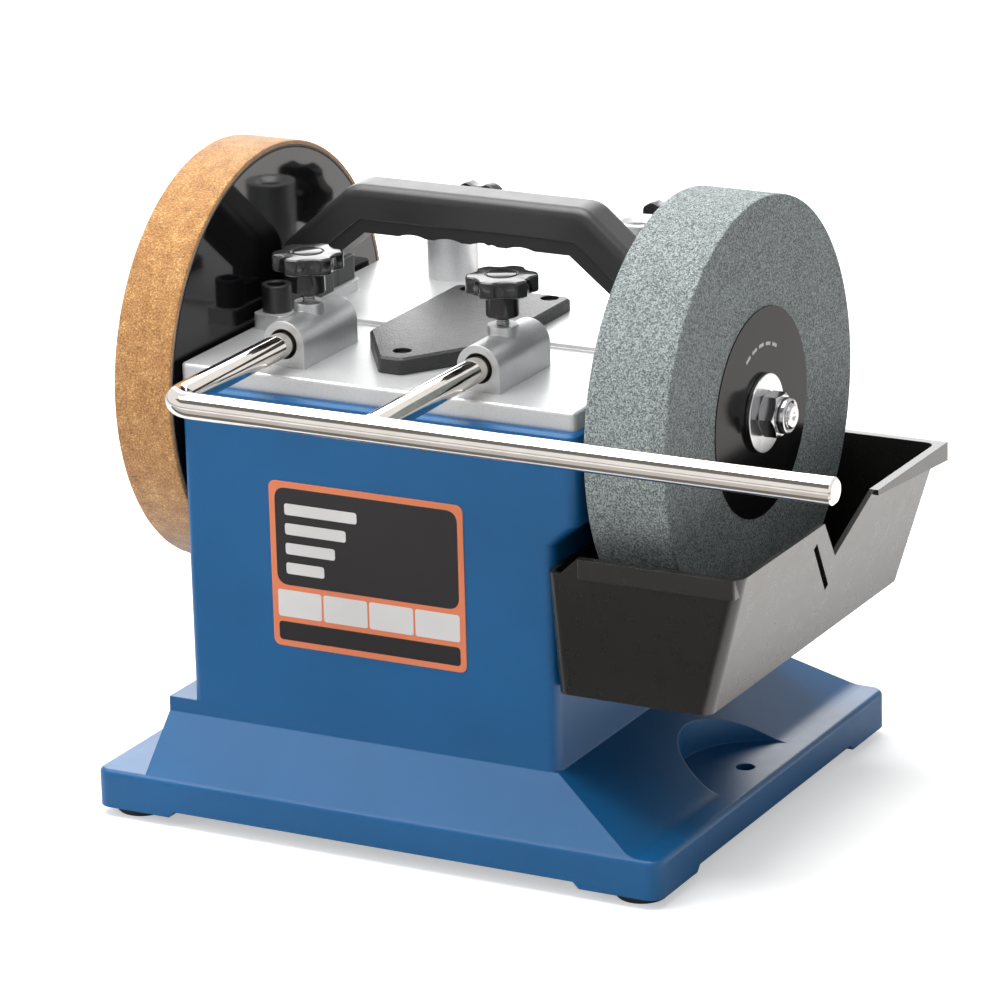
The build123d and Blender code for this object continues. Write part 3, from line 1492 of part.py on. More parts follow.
# Water trough: a drafted box with a lip, a lowered rim beside the column, a notch and a slot
trough_rim = shaft_z - trough_rim_drop
trough_bottom = shaft_z - stone_r - trough_stone_gap - trough_floor
trough_inner_x = recess_x + trough_column_gap
trough_outer_x = stone_outer + trough_outer_reach
trough_low_half = trough_half_length - trough_end_draft
lip_low = trough_rim - trough_lip_height
lip_start = trough_inner_x + trough_low_rim_width + trough_ramp_run
lip_half = trough_half_length + trough_lip_reach
with BuildPart() as water_trough:
    with BuildSketch(Plane.XY.offset(trough_bottom)):
        bounded_rectangle(
            trough_inner_x + trough_inner_draft,
            trough_outer_x - trough_outer_draft,
            -trough_low_half,
            trough_low_half,
            trough_corner,
        )
    with BuildSketch(Plane.XY.offset(trough_rim)):
        bounded_rectangle(
            trough_inner_x, trough_outer_x, -trough_half_length, trough_half_length, trough_corner
        )
    loft(ruled=True)
    # Lip along the front end, and from the notch round the back corner, deeper to the back
    with BuildSketch(Plane.XY.offset(lip_low)):
        bounded_rectangle(lip_start, trough_outer_x - trough_corner / 2, -lip_half, 0, trough_lip_reach)
    extrude(amount=trough_lip_height)
    with BuildSketch(across(lip_start, 0, trough_rim)):
        with BuildLine():
            Polyline(
                (notch_back_y, 0),
                (lip_half, 0),
                (lip_half, -trough_lip_height),
                (notch_back_y, -trough_lip_thin),
                close=True,
            )
        make_face()
    extrude(amount=trough_outer_x + trough_lip_reach - lip_start)
    # Inside
    with BuildSketch(Plane.XY.offset(trough_bottom + trough_floor)):
        bounded_rectangle(
            trough_inner_x + trough_inner_draft + trough_wall,
            trough_outer_x - trough_outer_draft - trough_wall,
            -trough_low_half + trough_wall,
            trough_low_half - trough_wall,
            trough_corner - trough_wall / 2,
        )
    with BuildSketch(Plane.XY.offset(trough_rim)):
        bounded_rectangle(
            trough_inner_x + trough_wall,
            trough_outer_x - trough_wall,
            -trough_half_length + trough_wall,
            trough_half_length - trough_wall,
            trough_corner - trough_wall / 2,
        )
    loft(ruled=True, mode=Mode.SUBTRACT)
    # Lowered rim beside the column, with a ramp up to the full rim
    low_rim = trough_rim - trough_low_rim_drop
    with BuildSketch(Plane.XZ):
        with BuildLine():
            Polyline(
                (trough_inner_x - trough_wall, low_rim),
                (trough_inner_x + trough_low_rim_width, low_rim),
                (lip_start, trough_rim),
                (trough_inner_x - trough_wall, trough_rim),
                close=True,
            )
        make_face()
    extrude(amount=2 * trough_half_length, both=True, mode=Mode.SUBTRACT)
    # Notch and slot in the outer wall
    slot_rise = slot_lower_drop - slot_upper_drop
    slot_run = slot_back_y - slot_front_y
    with BuildSketch(across(stone_outer + trough_stone_gap, 0, trough_rim)):
        with BuildLine():
            Polyline((notch_front_y, 0), (notch_low_y, -notch_depth), (notch_back_y, 0), close=True)
        make_face()
        with Locations(((slot_front_y + slot_back_y) / 2, -(slot_upper_drop + slot_lower_drop) / 2)):
            Rectangle(
                math.hypot(slot_run, slot_rise),
                slot_width,
                rotation=math.degrees(math.atan2(-slot_rise, slot_run)),
            )
    extrude(amount=trough_outer_reach, mode=Mode.SUBTRACT)
    # Hooks that pass through the column wall and drop behind it
    hook_inner = inner_recess - trough_column_gap - hook_thickness
    hook_low = hook_z + touch_gap
    for y in (-hook_spacing / 2, hook_spacing / 2):
        with BuildSketch(Plane.XZ.offset(-y)):
            with BuildLine():
                Polyline(
                    (hook_inner, hook_low - hook_drop),
                    (hook_inner + hook_thickness, hook_low - hook_drop),
                    (hook_inner + hook_thickness, hook_low),
                    (trough_inner_x + trough_wall, hook_low),
                    (trough_inner_x + trough_wall, hook_low + hook_thickness),
                    (hook_inner, hook_low + hook_thickness),
                    close=True,
                )
            make_face()
        extrude(amount=hook_width / 2, both=True)
save(water_trough.part, "water_trough")
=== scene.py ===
"""Looks of a water-cooled bench sharpener: fine surfaces, finishes, light and camera around its frame.

Lengths are millimetres in the machine's frame: +X to the stone, +Y to the back, +Z up from the bench.
Only the studio's lamps, cards, floor and camera are placed in metres.
"""

import logging
import math
from dataclasses import dataclass
from enum import Enum

import bmesh
import bpy
import numpy as np
from mathutils import Matrix, Vector


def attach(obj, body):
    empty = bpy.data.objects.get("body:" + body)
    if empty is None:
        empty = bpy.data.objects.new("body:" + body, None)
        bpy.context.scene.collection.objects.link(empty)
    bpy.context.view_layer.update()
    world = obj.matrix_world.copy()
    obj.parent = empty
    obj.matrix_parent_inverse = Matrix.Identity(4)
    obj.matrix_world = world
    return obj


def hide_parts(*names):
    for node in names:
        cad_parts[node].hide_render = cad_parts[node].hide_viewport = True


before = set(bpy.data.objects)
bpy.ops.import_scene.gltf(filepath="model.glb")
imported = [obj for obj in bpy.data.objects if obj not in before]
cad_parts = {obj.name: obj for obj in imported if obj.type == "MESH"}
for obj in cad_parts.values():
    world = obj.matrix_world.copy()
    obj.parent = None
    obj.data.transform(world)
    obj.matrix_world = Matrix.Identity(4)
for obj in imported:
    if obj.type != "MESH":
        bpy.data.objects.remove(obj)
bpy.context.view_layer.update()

LOG = logging.getLogger("sharpener")
MM = 0.001  # metres in a millimetre
SMOOTH_LIMIT = math.radians(32)  # edges that turn more than this stay sharp
MERGE_LIMIT = 1e-7  # points closer than this, in metres, become one
CORNER_SHARE = 0.499  # share of a side that a rounded corner may take
HOLD = 1.5  # setbacks from a corner to the point that keeps the next face flat
FLAT_ROW = 0.3  # width of the row that keeps a slab's front flat
SHAFT = np.array([0.0, 0.0, 197.0])  # a point on the spindle's axis
BAR_MIDDLE = -11.0  # x halfway between the legs of the tool bar
BAR_HALF = 50.5  # half the distance between the legs
BAR_HEIGHT = 228.5  # z of the legs
BLACK = (0.0, 0.0, 0.0, 1.0)
WHITE = (1.0, 1.0, 1.0, 1.0)
WARM_WHITE = (1.0, 0.965, 0.935, 1.0)

Points = np.ndarray
Rows = np.ndarray | tuple[np.ndarray, np.ndarray]
Colour = tuple[float, float, float]
Place = tuple[float, float, float]
Socket = bpy.types.NodeSocket
Material = bpy.types.Material


class Axis(Enum):
    """A machine axis with the two directions square to it, all right-handed."""

    X = ((1, 0, 0), (0, 1, 0), (0, 0, 1))
    Y = ((0, 1, 0), (0, 0, 1), (1, 0, 0))
    Z = ((0, 0, 1), (1, 0, 0), (0, 1, 0))


@dataclass
class Surface:
    """A mesh in millimetres, as points and four-cornered faces."""

    points: Points
    quads: Points

    @classmethod
    def from_grid(cls, grid: Points, close_rows: bool = False, close_columns: bool = True) -> "Surface":
        """Join each grid point to its neighbours in the next row and column.

        Args:
            grid: points as rows, columns and three coordinates.
            close_rows: join the last row to the first.
            close_columns: join the last column to the first.

        Returns:
            The surface over the grid.
        """
        rows, columns = grid.shape[:2]
        ids = np.arange(rows * columns).reshape(rows, columns)
        if close_rows:
            ids = np.vstack([ids, ids[:1]])
        if close_columns:
            ids = np.hstack([ids, ids[:, :1]])
        corners = (ids[:-1, :-1], ids[:-1, 1:], ids[1:, 1:], ids[1:, :-1])
        return cls(grid.reshape(-1, 3), np.stack(corners, axis=-1).reshape(-1, 4))

    def __add__(self, other: "Surface") -> "Surface":
        """Both surfaces as one mesh."""
        quads = np.vstack([self.quads, other.quads + len(self.points)])
        return Surface(np.vstack([self.points, other.points]), quads)


def joined(surfaces: list[Surface]) -> Surface:
    """Several surfaces as one mesh."""
    return sum(surfaces[1:], surfaces[0])


def polar(along: Points, radius: Points, angles: Points, centre: Points, axis: Axis) -> Points:
    """Points round an axis: P = C + a A + r (cos t E1 + sin t E2).

    Args:
        along: distances a on the axis, as rows and columns.
        radius: distances r from the axis, as rows and columns.
        angles: angles t of the columns.
        centre: the point C on the axis.
        axis: the direction A with its two square directions E1 and E2.

    Returns:
        The grid of points.
    """
    along, radius = np.broadcast_arrays(along, radius)
    main, first, second = np.array(axis.value, float)
    ring = np.cos(angles)[:, None] * first + np.sin(angles)[:, None] * second
    return centre + along[..., None] * main + radius[..., None] * ring


def turn_angles(count: int) -> Points:
    """Equal steps round a full turn."""
    return np.arange(count) * (2 * math.pi / count)


def revolve(parts: list[Rows], centre: Points, axis: Axis, steps: int, closed: bool = True) -> Surface:
    """Rows of (along, radius) stacked and carried round an axis.

    Args:
        parts: groups of rows, each as distances along the axis and radii; a group has one radius for each
            row, or one for each row and column.
        centre: the point on the axis from which the distances count.
        axis: the axis of the turn.
        steps: columns round the turn.
        closed: join the last row to the first.

    Returns:
        The surface of revolution.
    """
    along = np.concatenate([place for place, _ in parts])[:, None]
    radius = np.vstack([np.broadcast_to(reach.T, (steps, len(place))).T for place, reach in parts])
    return Surface.from_grid(polar(along, radius, turn_angles(steps), centre, axis), close_rows=closed)


def eased(points: Points, setback: float | Points, steps: int = 5) -> Points:
    """Round the corners of a closed line: each corner P becomes (1-s)^2 A + 2s(1-s) P + s^2 B.

    One more point lies a little outside A and B, so that flat faces keep flat shading.

    Args:
        points: the corners, two coordinates each.
        setback: how far A and B lie from P, for all corners or for each.
        steps: points on each corner's curve.

    Returns:
        The rounded line.
    """
    points = np.asarray(points, float)
    before = np.roll(points, 1, axis=0) - points
    after = np.roll(points, -1, axis=0) - points
    before_length = np.linalg.norm(before, axis=1)
    after_length = np.linalg.norm(after, axis=1)
    back = np.minimum(setback, CORNER_SHARE / HOLD * np.minimum(before_length, after_length))
    start = points + before * (back / before_length)[:, None]
    end = points + after * (back / after_length)[:, None]
    s = np.linspace(0, 1, steps)[None, :, None]
    curve = (1 - s) ** 2 * start[:, None] + 2 * s * (1 - s) * points[:, None] + s**2 * end[:, None]
    hold_start = points + before * (HOLD * back / before_length)[:, None]
    hold_end = points + after * (HOLD * back / after_length)[:, None]
    held = np.concatenate([hold_start[:, None], curve, hold_end[:, None]], axis=1)
    return held.reshape(-1, 2)


def soft_minimum(first: Points | float, second: Points, width: float) -> Points:
    """The lesser of two values, rounded where they meet: (a + b - sqrt((a - b)^2 + w^2)) / 2."""
    return 0.5 * (first + second - np.sqrt((first - second) ** 2 + width**2))


def smooth_field(rows: int, columns: int, row_size: float, column_size: float, seed: int) -> Points:
    """Seeded noise with features of a given size, wrapped in both directions.

    White noise is multiplied by a Gaussian in the frequency domain, then scaled to a spread of one.

    Args:
        rows: grid rows.
        columns: grid columns.
        row_size: feature size in rows.
        column_size: feature size in columns.
        seed: seed of the noise.

    Returns:
        The field as rows and columns.
    """
    white = np.random.default_rng(seed).standard_normal((rows, columns))
    row_wave = np.fft.fftfreq(rows)[:, None] * row_size
    column_wave = np.fft.fftfreq(columns)[None, :] * column_size
    kept = np.fft.fft2(white) * np.exp(-2 * (row_wave**2 + column_wave**2) * math.pi)
    field = np.fft.ifft2(kept).real
    return field / field.std()


class Nodes:
    """A node tree, with short calls for its nodes."""

    def __init__(self, tree: bpy.types.NodeTree) -> None:
        """Work on a tree."""
        self.tree = tree

    def feed(self, socket: Socket, value: object) -> None:
        """Link an input to another socket, or set its value.

        Args:
            socket: the input.
            value: the socket or value that it gets.
        """
        if isinstance(value, Socket):
            self.tree.links.new(value, socket)
        else:
            socket.default_value = value

    def add(self, kind: str, inputs: dict | None = None, **settings: object) -> bpy.types.Node:
        """Add a node.

        Args:
            kind: the node's type name.
            inputs: sockets to link or values to set, by input name or number.
            settings: attributes of the node.

        Returns:
            The node.
        """
        node = self.tree.nodes.new(kind)
        for key, value in settings.items():
            setattr(node, key, value)
        for key, value in (inputs or {}).items():
            self.feed(node.inputs[key], value)
        return node

    def math(self, operation: str, *values: object) -> Socket:
        """One step of arithmetic on sockets or numbers."""
        return self.add("ShaderNodeMath", dict(enumerate(values)), operation=operation).outputs[0]

    def span(self, value: Socket, low: float, high: float) -> Socket:
        """A value from 0 to 1 spread between two others."""
        return self.add("ShaderNodeMapRange", {"Value": value, "To Min": low, "To Max": high}).outputs[0]


class Shader(Nodes):
    """The nodes of one material, whose places are millimetres of the machine's frame."""

    def __init__(self, name: str) -> None:
        """Start a material.

        Args:
            name: the material's name.
        """
        self.material = bpy.data.materials.new(name)
        self.material.use_nodes = True
        super().__init__(self.material.node_tree)
        self.base = self.tree.nodes["Principled BSDF"]
        where = self.add("ShaderNodeTexCoord").outputs["Object"]
        scaled = self.add("ShaderNodeVectorMath", {0: where, "Scale": 1 / MM}, operation="SCALE")
        self.place = scaled.outputs[0]

    def noise(self, size: float, detail: float = 2.0, place: Socket | None = None) -> Socket:
        """Noise from 0 to 1 with features of a size in millimetres."""
        inputs = {"Vector": place or self.place, "Scale": 1 / size, "Detail": detail}
        return self.add("ShaderNodeTexNoise", inputs).outputs[0]

    def cells(self, size: float) -> bpy.types.Node:
        """Grains of a size in millimetres, each with a colour of its own."""
        return self.add("ShaderNodeTexVoronoi", {"Vector": self.place, "Scale": 1 / size})

    def ramp(self, value: Socket, *stops: tuple[float, Colour]) -> Socket:
        """Colours along a value.

        Args:
            value: a value from 0 to 1.
            stops: places on it, each with a colour.

        Returns:
            The colour.
        """
        node = self.add("ShaderNodeValToRGB", {"Fac": value})
        elements = node.color_ramp.elements
        while len(elements) < len(stops):
            elements.new(1.0)
        for element, (position, colour) in zip(elements, stops):
            element.position = position
            element.color = (*colour, 1.0)
        return node.outputs["Color"]

    def vector(self, operation: str, *values: object) -> Socket:
        """One step of arithmetic on places, to a place or a length."""
        node = self.add("ShaderNodeVectorMath", dict(enumerate(values)), operation=operation)
        return node.outputs["Value" if operation == "LENGTH" else "Vector"]

    def mix(self, share: object, first: object, second: object, kind: str = "MIX") -> Socket:
        """Two colours mixed by a share from 0 to 1; the node's sockets 6, 7 and output 2 are its colours."""
        node = self.add("ShaderNodeMix", {0: share, 6: first, 7: second}, data_type="RGBA", blend_type=kind)
        return node.outputs[2]

    def clouded(self, tone: Socket, size: float, darkest: float, detail: float = 2.0) -> Socket:
        """A tone made darker in clouds of a size in millimetres."""
        cloud = self.ramp(self.noise(size, detail), (0.3, (darkest,) * 3), (0.7, (1.0,) * 3))
        return self.mix(1.0, tone, cloud, "MULTIPLY")

    def from_shaft(self) -> Socket:
        """The distance from the spindle's axis."""
        offset = self.vector("SUBTRACT", self.place, tuple(SHAFT))
        return self.vector("LENGTH", self.vector("MULTIPLY", offset, (0, 1, 1)))

    def from_tool_bar(self) -> Socket:
        """The distance from the nearer of the two legs of the tool bar.

        Returns:
            The distance.
        """
        x, _, z = self.add("ShaderNodeSeparateXYZ", {0: self.place}).outputs
        aside = self.math("ABSOLUTE", self.math("SUBTRACT", x, BAR_MIDDLE))
        across = self.math("SUBTRACT", aside, BAR_HALF)
        above = self.math("SUBTRACT", z, BAR_HEIGHT)
        return self.vector("LENGTH", self.add("ShaderNodeCombineXYZ", {0: across, 2: above}).outputs[0])

    def soft_edge(self, radius: float) -> Socket:
        """The normal with sharp edges rounded over a radius in millimetres."""
        return self.add("ShaderNodeBevel", {"Radius": radius * MM}, samples=6).outputs["Normal"]

    def bump(self, height: Socket, depth: float, normal: Socket | None = None) -> Socket:
        """The normal over a relief.

        Args:
            height: the relief from 0 to 1.
            depth: its depth in millimetres.
            normal: the normal that it starts from, if not the surface's own.

        Returns:
            The normal.
        """
        inputs = {"Height": height, "Strength": 1.0, "Distance": depth * MM}
        if normal is not None:
            inputs["Normal"] = normal
        return self.add("ShaderNodeBump", inputs).outputs["Normal"]

    def set(self, **inputs: object) -> Material:
        """Link or set the surface shader's inputs.

        Args:
            inputs: sockets or values by input name, with _ for a blank.

        Returns:
            The material.
        """
        for key, value in inputs.items():
            self.feed(self.base.inputs[key.replace("_", " ")], value)
        return self.material


def shade(colour: Colour, factor: float) -> Colour:
    """A colour made lighter or darker by a factor."""
    return tuple(min(1.0, part * factor) for part in colour)


@dataclass(frozen=True)
class Finish:
    """A named finish with its colour and roughness."""

    name: str
    colour: Colour
    roughness: float

    def material(self) -> Material:
        """The finish's material, drawn once."""
        title = "finish " + self.name
        return bpy.data.materials.get(title) or self.draw(Shader(title))

    def draw(self, shader: Shader) -> Material:
        """Draw the nodes; each kind of finish has its own."""
        raise NotImplementedError

    def tones(self, shader: Shader, value: Socket, low: float, high: float, spread: float = 0.2) -> Socket:
        """The colour times a low and a high factor, `spread` below and above the middle of a value."""
        ends = (0.5 - spread, shade(self.colour, low)), (0.5 + spread, shade(self.colour, high))
        return shader.ramp(value, *ends)

    def uneven(self, shader: Shader, value: Socket, share: float) -> Socket:
        """The roughness, less and more by a share along a value."""
        return shader.span(value, self.roughness * (1 - share), self.roughness * (1 + share))


@dataclass(frozen=True)
class Moulded(Finish):
    """Moulded plastic or sprayed enamel: a slow drift of tone, a fine skin and softened edges."""

    drift: float = 0.06
    drift_size: float = 45.0
    gloss_size: float = 9.0
    gloss_share: float = 0.12
    skin_size: float = 1.4
    skin_depth: float = 0.012
    skin_detail: float = 3.0
    edge: float = 0.5
    specular: float = 0.5

    def draw(self, shader: Shader) -> Material:
        """A wide noise drives the tone, a smaller one the roughness, and a fine one the skin's bump.

        Args:
            shader: the material's nodes.

        Returns:
            The material.
        """
        skin = shader.noise(self.skin_size, self.skin_detail)
        return shader.set(
            Base_Color=self.tones(shader, shader.noise(self.drift_size), 1 - self.drift, 1 + self.drift),
            Roughness=self.uneven(shader, shader.noise(self.gloss_size, detail=3.0), self.gloss_share),
            Normal=shader.bump(skin, self.skin_depth, shader.soft_edge(self.edge)),
            Specular_IOR_Level=self.specular,
        )


@dataclass(frozen=True)
class CastSilver(Finish):
    """Cast aluminium under silver paint: small flakes, a sandy skin and softened edges, with painted shade
    round the bar's bore where asked.
    """

    metallic: float = 0.8
    flake_size: float = 0.4
    cloud_size: float = 30.0
    gloss_size: float = 6.0
    skin_size: float = 2.6
    skin_depth: float = 0.03
    edge: float = 0.9
    # radius round the bar's legs and tone factor of the painted shade in the bore's mouth
    painted_shade_radius: float = 0.0
    painted_shade_factor: float = 0.06

    def draw(self, shader: Shader) -> Material:
        """Grain colours as flakes, a noise as the cast skin, and painted shade, a near-black ring round the
        bar's bore, where asked.

        Args:
            shader: the material's nodes.

        Returns:
            The material.
        """
        flakes = shader.cells(self.flake_size).outputs["Color"]
        tone = self.tones(shader, flakes, low=0.93, high=1.04, spread=0.3)
        # Painted shade: near black within a radius of the bar's legs, for the shadow in the bore's
        # clearance.
        if self.painted_shade_radius:
            inside = shader.math("LESS_THAN", shader.from_tool_bar(), self.painted_shade_radius)
            tone = shader.mix(inside, tone, (*shade(self.colour, self.painted_shade_factor), 1.0))
        skin = shader.noise(self.skin_size, detail=4.0)
        return shader.set(
            Base_Color=shader.clouded(tone, self.cloud_size, darkest=0.93),
            Metallic=self.metallic,
            Roughness=self.uneven(shader, shader.noise(self.gloss_size, detail=3.0), share=0.15),
            Normal=shader.bump(skin, self.skin_depth, shader.soft_edge(self.edge)),
        )


@dataclass(frozen=True)
class BrightMetal(Finish):
    """Drawn, turned or plated metal with fine streaks along one direction."""

    streak: Colour = (1.0, 1.0, 1.0)
    streak_size: float = 0.5
    streak_depth: float = 0.004
    tone_size: float = 14.0
    edge: float = 0.25

    def draw(self, shader: Shader) -> Material:
        """Noise stretched by the streak factors drives roughness and a very shallow bump.

        Args:
            shader: the material's nodes.

        Returns:
            The material.
        """
        where = shader.vector("MULTIPLY", shader.place, self.streak)
        lines = shader.noise(self.streak_size, detail=3.0, place=where)
        return shader.set(
            Base_Color=self.tones(shader, shader.noise(self.tone_size), low=0.94, high=1.04),
            Metallic=1.0,
            Roughness=self.uneven(shader, lines, share=0.3),
            Normal=shader.bump(lines, self.streak_depth, shader.soft_edge(self.edge)),
        )


@dataclass(frozen=True)
class TurnedMetal(Finish):
    """Metal turned on the spindle's axis, with rings from the tool."""

    ring_pitch: float = 0.35
    ring_depth: float = 0.01
    tone_size: float = 7.0
    edge: float = 0.2

    def draw(self, shader: Shader) -> Material:
        """Noise read along the distance from the axis makes the rings.

        Args:
            shader: the material's nodes.

        Returns:
            The material.
        """
        where = shader.add("ShaderNodeCombineXYZ", {0: shader.from_shaft()}).outputs[0]
        rings = shader.noise(self.ring_pitch, place=where)
        return shader.set(
            Base_Color=self.tones(shader, shader.noise(self.tone_size), low=0.92, high=1.05),
            Metallic=1.0,
            Roughness=self.uneven(shader, rings, share=0.25),
            Normal=shader.bump(rings, self.ring_depth, shader.soft_edge(self.edge)),
        )


@dataclass(frozen=True)
class Speckled(Finish):
    """A finish with dark and pale specks in its colour."""

    dark: Colour
    pale: Colour

    def specks(self, shader: Shader, value: Socket, stops: tuple[float, ...]) -> Socket:
        """Dark, the colour itself twice and pale, at four stops along a value."""
        return shader.ramp(value, *zip(stops, (self.dark, self.colour, self.colour, self.pale)))


@dataclass(frozen=True)
class Grit(Speckled):
    """Bonded abrasive: pale and dark grains in a grey-green bond, with open pores."""

    grain_size: float = 0.6
    fine_share: float = 0.55
    fine_mix: float = 0.45
    cloud_size: float = 18.0
    pore_depth: float = 0.13

    def draw(self, shader: Shader) -> Material:
        """Two sizes of grains choose the tones; the grains' distances are the pores.

        Args:
            shader: the material's nodes.

        Returns:
            The material.
        """
        coarse = shader.cells(self.grain_size).outputs
        fine = shader.cells(self.grain_size * self.fine_share).outputs
        speckle = shader.mix(self.fine_mix, coarse["Color"], fine["Color"])
        tone = self.specks(shader, speckle, stops=(0.35, 0.45, 0.55, 0.66))
        height = shader.math("ADD", coarse["Distance"], fine["Distance"])
        return shader.set(
            Base_Color=shader.clouded(tone, self.cloud_size, darkest=0.9, detail=4.0),
            Roughness=self.roughness,
            Normal=shader.bump(height, self.pore_depth),
            Specular_IOR_Level=0.25,
        )


@dataclass(frozen=True)
class Suede(Speckled):
    """Leather with a raised nap: tan with pale and brown fibres, dark at the glued edge."""

    glue: Colour
    glue_radius: float
    nap_size: float = 0.8
    nap_depth: float = 0.3
    nap_share: float = 0.72
    patch_size: float = 7.0

    def draw(self, shader: Shader) -> Material:
        """Noise of two sizes chooses the tones; the distance from the spindle finds the glue.

        Args:
            shader: the material's nodes.

        Returns:
            The material.
        """
        fine = shader.noise(self.nap_size, detail=4.0)
        fine_part = shader.math("MULTIPLY", fine, self.nap_share)
        wide = shader.noise(self.patch_size, detail=3.0)
        wide_part = shader.math("MULTIPLY", wide, 1 - self.nap_share)
        both = shader.math("ADD", fine_part, wide_part)
        nap = self.specks(shader, both, stops=(0.37, 0.48, 0.53, 0.64))
        inside = shader.math("LESS_THAN", shader.from_shaft(), self.glue_radius)
        return shader.set(
            Base_Color=shader.mix(inside, nap, (*self.glue, 1.0)),
            Roughness=self.roughness,
            Normal=shader.bump(fine, self.nap_depth),
            Specular_IOR_Level=0.2,
            Sheen_Weight=0.6,
            Sheen_Roughness=0.5,
        )


FILM_SKIN = {"skin_size": 3.0, "skin_depth": 0.006}  # shared by the inks of the label


class Finishes:
    """The finishes of the machine, by name."""

    blue_shell = Moulded(
        "blue shell", (0.005, 0.102, 0.272), 0.36, skin_size=2.2, skin_depth=0.015, edge=0.9, specular=0.34
    )
    silver_cast = CastSilver("silver cast", (0.67, 0.675, 0.68), 0.36, metallic=0.55)
    # The sleeves carry painted shade: near black within 7.2 mm of the bar's legs.
    silver_sleeve = CastSilver("silver sleeve", (0.58, 0.59, 0.595), 0.36, painted_shade_radius=7.2)
    bright_rod = BrightMetal("bright rod", (0.8, 0.755, 0.7), 0.06, streak=(0.03, 0.03, 1.0))
    bright_stud = BrightMetal("bright stud", (0.46, 0.46, 0.47), 0.18)
    plain_steel = BrightMetal("plain steel", (0.52, 0.52, 0.53), 0.38)
    sheet_steel = BrightMetal("sheet steel", (0.42, 0.43, 0.44), 0.42, streak=(0.05, 1.0, 1.0))
    # Painted shade: zinc steel screws drawn near black, so that the holes they sit in read dark.
    screw_in_painted_shade = BrightMetal("dark screw", (0.05, 0.05, 0.055), 0.4)
    bronze = BrightMetal("bronze", (0.55, 0.36, 0.17), 0.34)
    zinc_turned = TurnedMetal("zinc turned", (0.5, 0.5, 0.505), 0.24)
    core_plates = BrightMetal("core plates", (0.3, 0.27, 0.24), 0.55, streak=(0.1, 0.1, 1.0))
    motor_enamel = Moulded("motor enamel", (0.05, 0.05, 0.055), 0.4)
    black_handle = Moulded(
        "black handle", (0.012, 0.012, 0.013), 0.4, skin_size=0.6, skin_depth=0.03, edge=1.4, specular=0.65
    )
    black_grip = Moulded("black grip", (0.009, 0.009, 0.01), 0.5, skin_size=0.5, skin_depth=0.04)
    black_knob = Moulded(
        "black knob", (0.008, 0.008, 0.009), 0.14, skin_size=2.0, skin_depth=0.01, edge=0.3, specular=0.6
    )
    black_cover = Moulded("black cover", (0.014, 0.014, 0.015), 0.38, skin_size=0.9, skin_depth=0.4)
    black_trough = Moulded(
        "black trough", (0.0115, 0.0105, 0.0098), 0.28,
        skin_size=14.0, skin_depth=0.02, skin_detail=0.0, edge=0.3,
    )
    black_core = Moulded(
        "black core", (0.006, 0.006, 0.007), 0.06, skin_size=6.0, skin_depth=0.003, specular=0.34
    )
    black_rubber = Moulded("black rubber", (0.012, 0.012, 0.012), 0.65, skin_size=0.8, skin_depth=0.05)
    white_can = Moulded("capacitor can", (0.6, 0.61, 0.62), 0.35)
    red_rocker = Moulded("red rocker", (0.5, 0.02, 0.015), 0.25)
    whetstone = Grit(
        "whetstone", (0.25, 0.285, 0.283), 0.85, dark=(0.1, 0.117, 0.117), pale=(0.45, 0.495, 0.495)
    )
    tan_suede = Suede(
        "tan suede", (0.46, 0.222, 0.07), 0.9,
        dark=(0.24, 0.103, 0.028), pale=(0.74, 0.45, 0.18), glue=(0.04, 0.02, 0.01), glue_radius=99.4,
    )
    disc_print = Moulded(
        "disc print", (0.009, 0.009, 0.0095), 0.14,
        skin_size=9.0, skin_depth=0.004, skin_detail=0.0, edge=0.1, specular=0.06,
    )
    ring_print = Moulded("ring print", (0.5, 0.5, 0.5), 0.5, edge=0.05)
    label_orange = Moulded("label orange", (0.72, 0.2, 0.085), 0.33, edge=0.1, **FILM_SKIN)
    label_black = Moulded("label black", (0.016, 0.014, 0.015), 0.3, edge=0.05, **FILM_SKIN)
    label_pale = Moulded("label pale", (0.66, 0.64, 0.63), 0.33, edge=0.05, **FILM_SKIN)


def put(name: str, data: bpy.types.ID) -> bpy.types.Object:
    """Put a new object in the scene.

    Args:
        name: the object's name.
        data: its mesh, light or camera.

    Returns:
        The object.
    """
    thing = bpy.data.objects.new(name, data)
    bpy.context.scene.collection.objects.link(thing)
    return thing


def make_piece(name: str, surface: Surface, finish: Finish, body: str, slot: str, *replaces: str) -> None:
    """Make an object of a surface, give it its finish and let it ride on a body.

    Args:
        name: the piece's name.
        surface: its mesh in millimetres.
        finish: its finish.
        body: the body that carries it.
        slot: the material slot of the record that it belongs to; not used.
        replaces: the frame's nodes that it stands for.
    """
    mesh = bpy.data.meshes.new(name)
    mesh.from_pydata((surface.points * MM).tolist(), [], surface.quads.tolist())
    editor = bmesh.new()
    editor.from_mesh(mesh)
    bmesh.ops.remove_doubles(editor, verts=editor.verts[:], dist=MERGE_LIMIT)
    bmesh.ops.recalc_face_normals(editor, faces=editor.faces[:])
    editor.to_mesh(mesh)
    editor.free()
    mesh.polygons.foreach_set("use_smooth", np.ones(len(mesh.polygons), bool))
    mesh.set_sharp_from_angle(angle=SMOOTH_LIMIT)
    mesh.materials.append(finish.material())
    piece = put(name, mesh)
    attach(piece, body)
    if replaces:
        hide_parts(*replaces)
    LOG.info("piece %s: %d points on %s", name, len(mesh.vertices), body)


def dress_node(name: str, finish: Finish) -> None:
    """Give a node of the frame its finish.

    Args:
        name: the node's name.
        finish: its finish.
    """
    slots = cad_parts[name].data.materials
    slots.clear()
    slots.append(finish.material())
    LOG.info("node %s: %s", name, finish.name)


